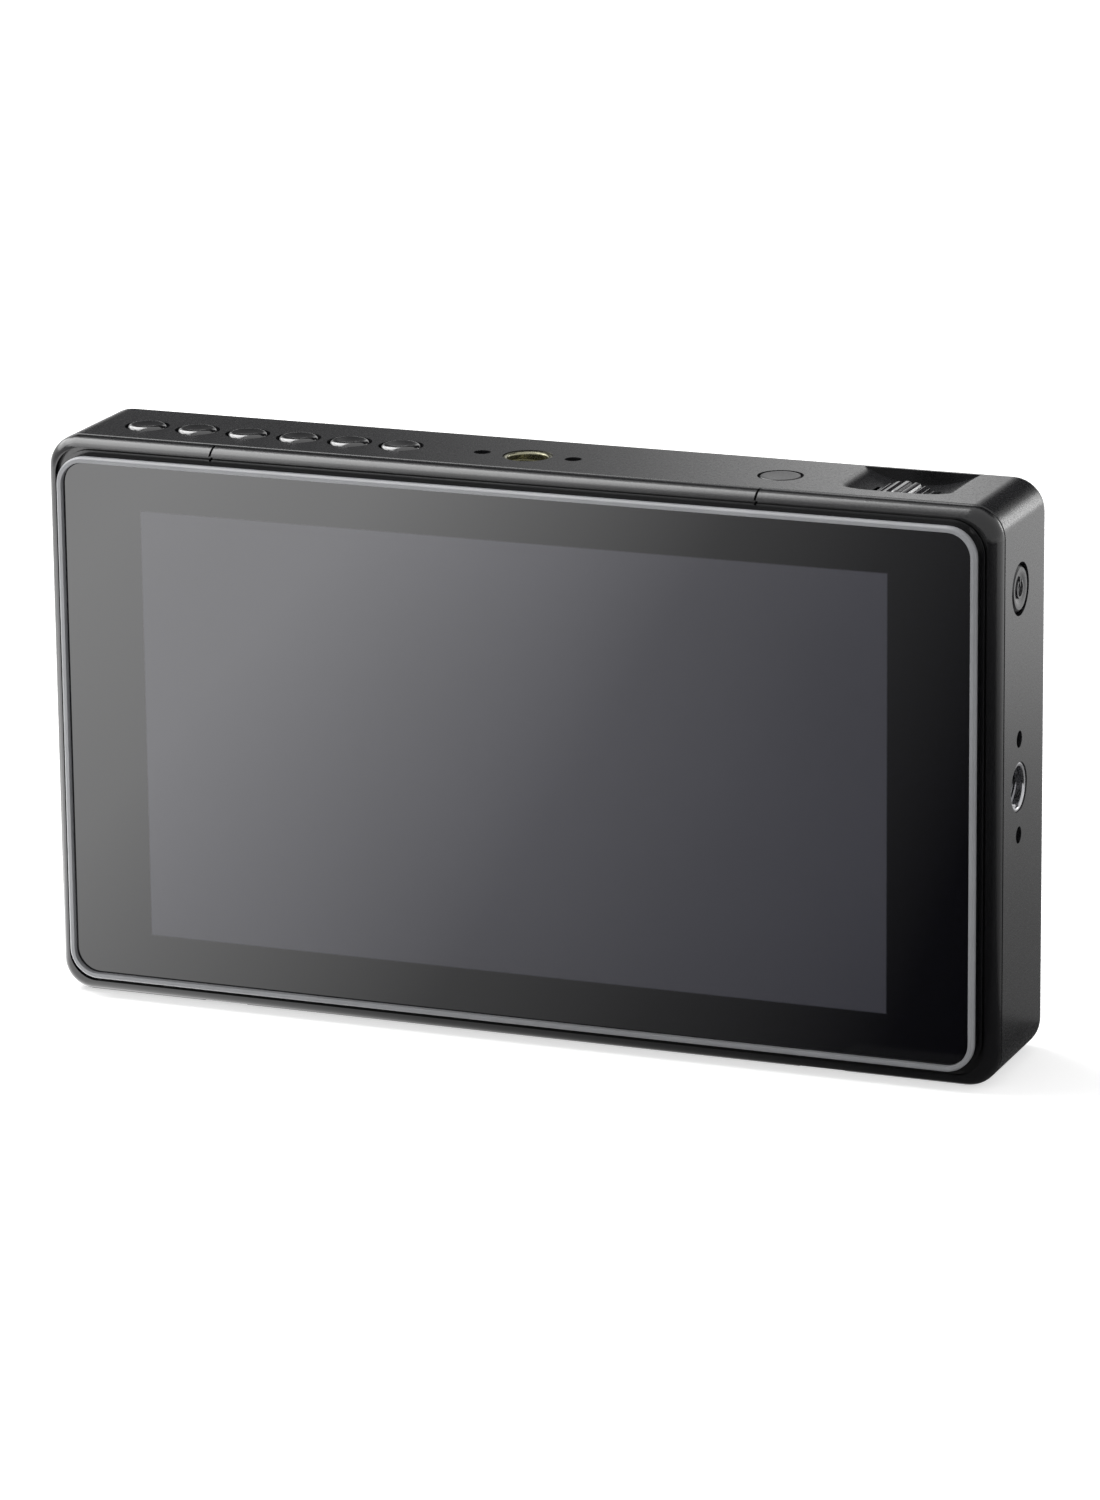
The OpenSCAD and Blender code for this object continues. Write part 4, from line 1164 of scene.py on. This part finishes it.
@dataclass
class BatterySide:
    """Battery latch with grip ribs, its spring, the contacts and the screws of the back."""

    latch_edge: float = 0.3
    latch_travel: float = 2.0
    screw_edge: float = 0.08
    contact_edge: float = 0.15
    spring_angle: float = 70.0
    ribs: int = 3
    rib_pitch: float = 1.3
    rib_w: float = 8.0
    rib_h: float = 0.55
    rib_rise: float = 0.32
    rib_top: Point = (0.92, 1.0, 0.45)
    first_rib: float = 2.4
    face_over_plate: float = 0.5

    def build_latch(self) -> None:
        """Softens the latch and sets its ribs on its face, below the nib."""
        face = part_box("battery_plate")[1].y / MM + self.face_over_plate
        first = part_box("battery_latch")[0].z / MM + self.first_rib
        latch = copy_of("battery_latch", "battery_latch_button")
        soften(latch, self.latch_edge, segments=3)
        ribs = []
        # half of a rib's depth lies in the latch
        size = (self.rib_w, 2 * self.rib_rise, self.rib_h)
        for i in range(self.ribs):
            rib = tapered_bar(size, (0.0, 1.0, 0.0), self.rib_top)
            seat(rib, Side.TOP, (0.0, face, first + i * self.rib_pitch))
            ribs.append(rib)
        latch = join([latch, *ribs])
        hand_over(latch, "latch_plastic", "battery_latch", "battery_latch")

    def build_spring(self) -> None:
        """Makes the latch's coil spring, fixed to the body, with a mesh of its own."""
        spring = copy_of("latch_spring", "latch_spring_coil")
        smooth(spring, self.spring_angle)
        hand_over(spring, "screw_steel", BODY, "latch_spring")
        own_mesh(spring)

    def build(self) -> None:
        """Makes the latch, its spring, the contacts and the screws."""
        self.build_latch()
        self.build_spring()
        pieces = (
            ("battery_contacts", "contact_gold", self.contact_edge),
            ("contact_block", "chip_plastic", self.contact_edge),
            ("back_cover_screws", "black_screw", self.screw_edge),
            ("battery_plate_screws", "black_screw", self.screw_edge),
        )
        for node, slot, width in pieces:
            piece = copy_of(node, node + "_finished")
            soften(piece, width)
            hand_over(piece, slot, BODY, node)


@dataclass(frozen=True)
class Tongue:
    """Tongue of a socket, and the number of contact strips on it."""

    width: float
    thickness: float
    strips: int


@dataclass
class Sockets:
    """Sockets of the left side, with the contact strips on their tongues."""

    edge: float = 0.1
    strip_t: float = 0.06
    strip_in: float = 1.6
    strip_l: float = 6.0
    strip_share: float = 0.55
    strip_tip: Point = (1.0, 0.3, 0.8)
    video: Tongue = Tongue(11.0, 1.4, 9)
    data: Tongue = Tongue(6.7, 0.7, 6)

    def strips(self, node: str, tongue: Tongue) -> Piece:
        """Lays gold strips on a socket's tongue: one is shaped, and copied across it.

        Args:
            node: The socket's node.
            tongue: Its tongue.

        Returns:
            The strips.
        """
        # a quarter of a pitch stays free at each end of the row, and half of a strip's
        # thickness lies in the tongue
        pitch = tongue.width / (tongue.strips + 0.5)
        size = (self.strip_l, 2 * self.strip_t, pitch * self.strip_share)
        piece = tapered_bar(size, (-1.0, 0.0, 0.0), self.strip_tip)
        piece.name = node + "_contacts"
        row = piece.modifiers.new("row", "ARRAY")
        row.count = tongue.strips
        row.use_relative_offset = False
        row.use_constant_offset = True
        row.constant_offset_displace = (0.0, 0.0, pitch)
        activate(piece)
        bpy.ops.object.modifier_apply(modifier=row.name)
        middle = centre_of(node)
        place = (
            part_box(node)[0].x / MM + self.strip_in + self.strip_l / 2,
            middle.y - tongue.thickness / 2,
            middle.z - pitch * (tongue.strips - 1) / 2,
        )
        seat(piece, Side.TOP, place)
        return piece

    def build(self) -> None:
        """Makes the five sockets and the strips of the three that have a tongue."""
        shells = (
            ("video_input_socket", "socket_shell", self.video),
            ("video_output_socket", "socket_shell", self.video),
            ("data_socket", "socket_shell", self.data),
            ("dc_jack", "jack_plastic", None),
            ("headphone_jack", "jack_plastic", None),
        )
        for node, slot, tongue in shells:
            piece = copy_of(node, node + "_shell")
            soften(piece, self.edge)
            hand_over(piece, slot, BODY, node)
            if tongue:
                hand_over(self.strips(node, tongue), "contact_gold", BODY)


@dataclass
class Inside:
    """Pieces inside the housing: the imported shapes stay, and take their finishes."""

    def build(self, record: dict, shown: dict[str, Piece]) -> None:
        """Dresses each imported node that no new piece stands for.

        Args:
            record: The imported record, which names each node's slot.
            shown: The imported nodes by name.
        """
        for row in record["subparts"]:
            node, slot = row["node"], row["material_slot"]
            if not shown[node].hide_render:
                dress(shown[node], slot)
                LOG.info("%s: %s", node, slot)


# ---------------------------------------------------------------- studio


@dataclass
class ProductCamera:
    """Long lens from the front right and a little above, as the photograph was taken."""

    yaw: float = 21.78
    elevation: float = 15.38
    roll: float = -0.63
    lens: float = 164.4
    distance: float = 1035.7
    slide_right: float = 6.22
    slide_up: float = 2.01
    target: Point = (0.0, -14.7, 44.2)
    sensor_w: float = 36.0
    nearest: float = 10.0

    def build(self) -> None:
        """Makes the camera and hands it to the scene."""
        yaw, rise, roll = (math.radians(a) for a in (self.yaw, self.elevation, self.roll))
        back = Vector(
            (math.sin(yaw) * math.cos(rise), -math.cos(yaw) * math.cos(rise), math.sin(rise))
        )
        right = Vector((math.cos(yaw), math.sin(yaw), 0.0))
        up = back.cross(right)
        rolled_right = math.cos(roll) * right + math.sin(roll) * up
        rolled_up = math.cos(roll) * up - math.sin(roll) * right
        place = (
            Vector(self.target)
            + back * self.distance
            + rolled_right * self.slide_right
            + rolled_up * self.slide_up
        )
        data = bpy.data.cameras.new("product_camera")
        data.lens = self.lens
        data.sensor_width = self.sensor_w
        data.clip_start = self.nearest * MM
        camera = bpy.data.objects.new("product_camera", data)
        bpy.context.scene.collection.objects.link(camera)
        turn = Matrix((rolled_right, rolled_up, back)).transposed().to_4x4()
        camera.matrix_world = Matrix.Translation(place * MM) @ turn
        bpy.context.scene.camera = camera


@dataclass(frozen=True)
class Card:
    """Studio card that only reflections see: it stays out of the picture.

    The grade runs along the card's own X, turned by grade_turn about its middle; a card without
    one glows evenly."""

    name: str
    middle: Point
    size: tuple[float, float]
    turn: Point
    strength: float
    grade: tuple[tuple[float, float], ...] = ((0.0, 1.0), (1.0, 1.0))
    grade_span: tuple[float, float] = (-100.0, 100.0)
    grade_turn: float = 0.0

    def build(self) -> None:
        """Makes the card's plane and its graded glow."""
        bpy.ops.object.select_all(action="DESELECT")
        bpy.ops.mesh.primitive_plane_add(size=1.0)
        card = bpy.context.active_object
        card.name = self.name
        card.scale = (self.size[0] * MM, self.size[1] * MM, 1.0)
        bpy.ops.object.transform_apply(location=False, rotation=False, scale=True)
        card.rotation_euler = [math.radians(a) for a in self.turn]
        card.location = Vector(self.middle) * MM
        card.data.materials.append(self.glow())
        for ray in ("camera", "diffuse", "transmission", "volume_scatter", "shadow"):
            setattr(card, "visible_" + ray, False)

    def glow(self) -> bpy.types.Material:
        """Builds the emission that fades along the card.

        Returns:
            The card's material.
        """
        material = bpy.data.materials.new(self.name)
        tree = empty_tree(material)
        place = add_node(tree, "ShaderNodeTexCoord").outputs["Object"]
        low, high = (edge * MM for edge in self.grade_span)
        turned_place = add_node(
            tree, "ShaderNodeMapping",
            {"Vector": place, "Rotation": (0.0, 0.0, math.radians(self.grade_turn))},
        )
        along = add_node(tree, "ShaderNodeSeparateXYZ", {"Vector": turned_place.outputs["Vector"]})
        share = add_node(
            tree, "ShaderNodeMapRange",
            {"Value": along.outputs["X"], "From Min": low, "From Max": high},
        )
        ramp = add_node(tree, "ShaderNodeValToRGB", {"Fac": share.outputs["Result"]})
        set_ramp(ramp, [(at, (level, level, level, 1.0)) for at, level in self.grade])
        glow = add_node(
            tree, "ShaderNodeEmission", {"Color": ramp.outputs["Color"], "Strength": self.strength}
        )
        add_node(tree, "ShaderNodeOutputMaterial", {"Surface": glow.outputs["Emission"]})
        return material


@dataclass(frozen=True)
class Softbox:
    """Area lamp that looks at the monitor."""

    name: str
    place: Point
    size: tuple[float, float]
    radiance: float
    target: Point = (0.0, 0.0, 45.0)

    def build(self) -> None:
        """Makes the lamp; its power follows from its radiance and its area."""
        data = bpy.data.lights.new(self.name, "AREA")
        data.shape = "RECTANGLE"
        data.size, data.size_y = (side * MM for side in self.size)
        data.energy = self.radiance * math.pi * data.size * data.size_y
        lamp = bpy.data.objects.new(self.name, data)
        bpy.context.scene.collection.objects.link(lamp)
        lamp.location = Vector(self.place) * MM
        aim = Vector(self.target) - Vector(self.place)
        lamp.rotation_euler = aim.to_track_quat("-Z", "Y").to_euler()


@dataclass
class Studio:
    """White floor and white surroundings, a soft lamp from above and graded cards."""

    floor_size: float = 9000.0
    floor_colour: str = "e7e7e7"
    floor_lift: tuple[float, float] = (0.6, 0.75)
    floor_lift_from: float = 250.0
    floor_lift_to: float = 1500.0
    sky_fill: float = 0.55
    softboxes: tuple[Softbox, ...] = (
        Softbox("overhead_softbox", (-572.0, 100.0, 880.0), (752.0, 700.0), 6.4),
        Softbox("edge_strip", (300.0, 480.0, 150.0), (90.0, 160.0), 5.0),
    )
    cards: tuple[Card, ...] = (
        # lies in front: bright on the left, black on the right, so the glass is graded
        Card(
            "front_card", (60.0, -330.0, 0.6), (900.0, 700.0), (0.0, 0.0, 0.0), 4.4,
            ((0.0, 0.94), (0.2, 0.8), (0.35, 0.54), (0.55, 0.21), (0.7, 0.1), (0.88, 0.01), (1.0, 0.0)),
            (-260.0, -40.0), 12.0,
        ),
        # hangs above in front and fades forwards and to the right, so the light on the round band
        # has a soft lower edge and weakens along it
        Card(
            "front_top_card", (-572.0, -520.0, 880.0), (752.0, 540.0), (0.0, 0.0, 0.0), 5.4,
            ((0.0, 1.0), (0.2, 0.92), (0.55, 0.55), (0.76, 0.25), (1.0, 0.08)), (0.0, 280.0), 20.0,
        ),
        # stands on the left, so the light runs on round the left upper corner
        Card("left_card", (-600.0, 120.0, 400.0), (280.0, 700.0), (0.0, 90.0, 0.0), 5.0),
        # stands behind: dark on the left, light on the right, so the top face is graded
        Card(
            "back_card", (-150.0, 360.0, 200.0), (300.0, 190.0), (90.0, 0.0, 0.0), 1.7,
            ((0.0, 0.05), (0.35, 0.06), (0.6, 0.21), (0.75, 0.57), (0.86, 0.84), (1.0, 0.2)),
            (-130.0, 130.0),
        ),
        # black card above the back card
        Card("back_flag", (-40.0, 362.0, 400.0), (700.0, 220.0), (90.0, 0.0, 0.0), 0.02),
        # black card beside the back card, which draws the dark line on the round upper corner
        Card("corner_flag", (76.0, 364.0, 250.0), (216.0, 220.0), (90.0, 0.0, 0.0), 0.02),
        # lies on the right behind: darker towards the body, so the side darkens downwards
        Card(
            "side_card", (220.0, 230.0, 0.6), (340.0, 520.0), (0.0, 0.0, 0.0), 1.22,
            ((0.0, 0.2), (0.25, 0.26), (0.5, 0.4), (0.6, 0.52), (0.7, 0.68), (0.95, 0.93), (1.0, 1.0)),
            (-266.0, 54.0), -68.2,
        ),
    )

    def build_world(self) -> None:
        """White to look at and in reflections, and dimmer as a light."""
        world = bpy.data.worlds.new("studio")
        bpy.context.scene.world = world
        world.use_nodes = True
        tree = world.node_tree
        tree.nodes.clear()
        seen = self.seen_directly(tree)
        strength = add_node(
            tree, "ShaderNodeMapRange", {"Value": seen, "To Min": self.sky_fill, "To Max": 1.0}
        )
        glow = add_node(
            tree, "ShaderNodeBackground",
            {"Color": (1.0, 1.0, 1.0, 1.0), "Strength": strength.outputs["Result"]},
        )
        add_node(tree, "ShaderNodeOutputWorld", {"Surface": glow.outputs["Background"]})

    @staticmethod
    def seen_directly(tree: Tree) -> Socket:
        """Tells the rays that show the surroundings from those that light the monitor.

        Args:
            tree: The node tree.

        Returns:
            A socket that is 1 for camera, glossy and transmission rays, and 0 for the rest.
        """
        path = add_node(tree, "ShaderNodeLightPath")
        glossy = add_node(
            tree, "ShaderNodeMath",
            {0: path.outputs["Is Camera Ray"], 1: path.outputs["Is Glossy Ray"]},
            operation="MAXIMUM",
        )
        return add_node(
            tree, "ShaderNodeMath",
            {0: glossy.outputs[0], 1: path.outputs["Is Transmission Ray"]},
            operation="MAXIMUM",
        ).outputs[0]

    def build_floor(self) -> None:
        """Pale floor that keeps the monitor's shadow and is lifted to white where it is seen."""
        bpy.ops.object.select_all(action="DESELECT")
        bpy.ops.mesh.primitive_plane_add(size=self.floor_size * MM)
        floor = bpy.context.active_object
        floor.name = "floor"
        material = bpy.data.materials.new("studio_floor")
        tree = empty_tree(material)
        paper = add_node(tree, "ShaderNodeBsdfDiffuse", {"Color": linear(self.floor_colour)})
        place = add_node(tree, "ShaderNodeTexCoord").outputs["Object"]
        reach = add_node(tree, "ShaderNodeVectorMath", {0: place}, operation="LENGTH")
        low, high = self.floor_lift
        grown = add_node(
            tree, "ShaderNodeMapRange",
            {"Value": reach.outputs["Value"], "From Min": self.floor_lift_from * MM,
             "From Max": self.floor_lift_to * MM, "To Min": low, "To Max": high},
        )
        lift = add_node(
            tree, "ShaderNodeMath",
            {0: self.seen_directly(tree), 1: grown.outputs["Result"]},
            operation="MULTIPLY",
        )
        glow = add_node(tree, "ShaderNodeEmission", {"Strength": lift.outputs[0]})
        both = add_node(
            tree, "ShaderNodeAddShader", {0: paper.outputs["BSDF"], 1: glow.outputs["Emission"]}
        )
        add_node(tree, "ShaderNodeOutputMaterial", {"Surface": both.outputs["Shader"]})
        floor.data.materials.append(material)

    def build(self) -> None:
        """Makes the floor, the surroundings, the lamps and the cards."""
        self.build_world()
        self.build_floor()
        for light in (*self.softboxes, *self.cards):
            light.build()


# ---------------------------------------------------------------- the whole scene


def main() -> None:
    """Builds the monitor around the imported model, then the studio and the camera."""
    logging.basicConfig(level=logging.INFO, format="%(name)s: %(message)s")
    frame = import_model()
    bpy.ops.object.select_all(action="DESELECT")
    ProductCamera().build()
    for assembly in (Shells(), KeySet(), ThumbWheel(), ThreadInserts(), BatterySide(), Sockets()):
        assembly.build()
    Inside().build(frame["record"], frame["nodes"])
    Studio().build()
    bpy.context.scene.view_settings.view_transform = "Standard"


if __name__ == "__main__":
    main()
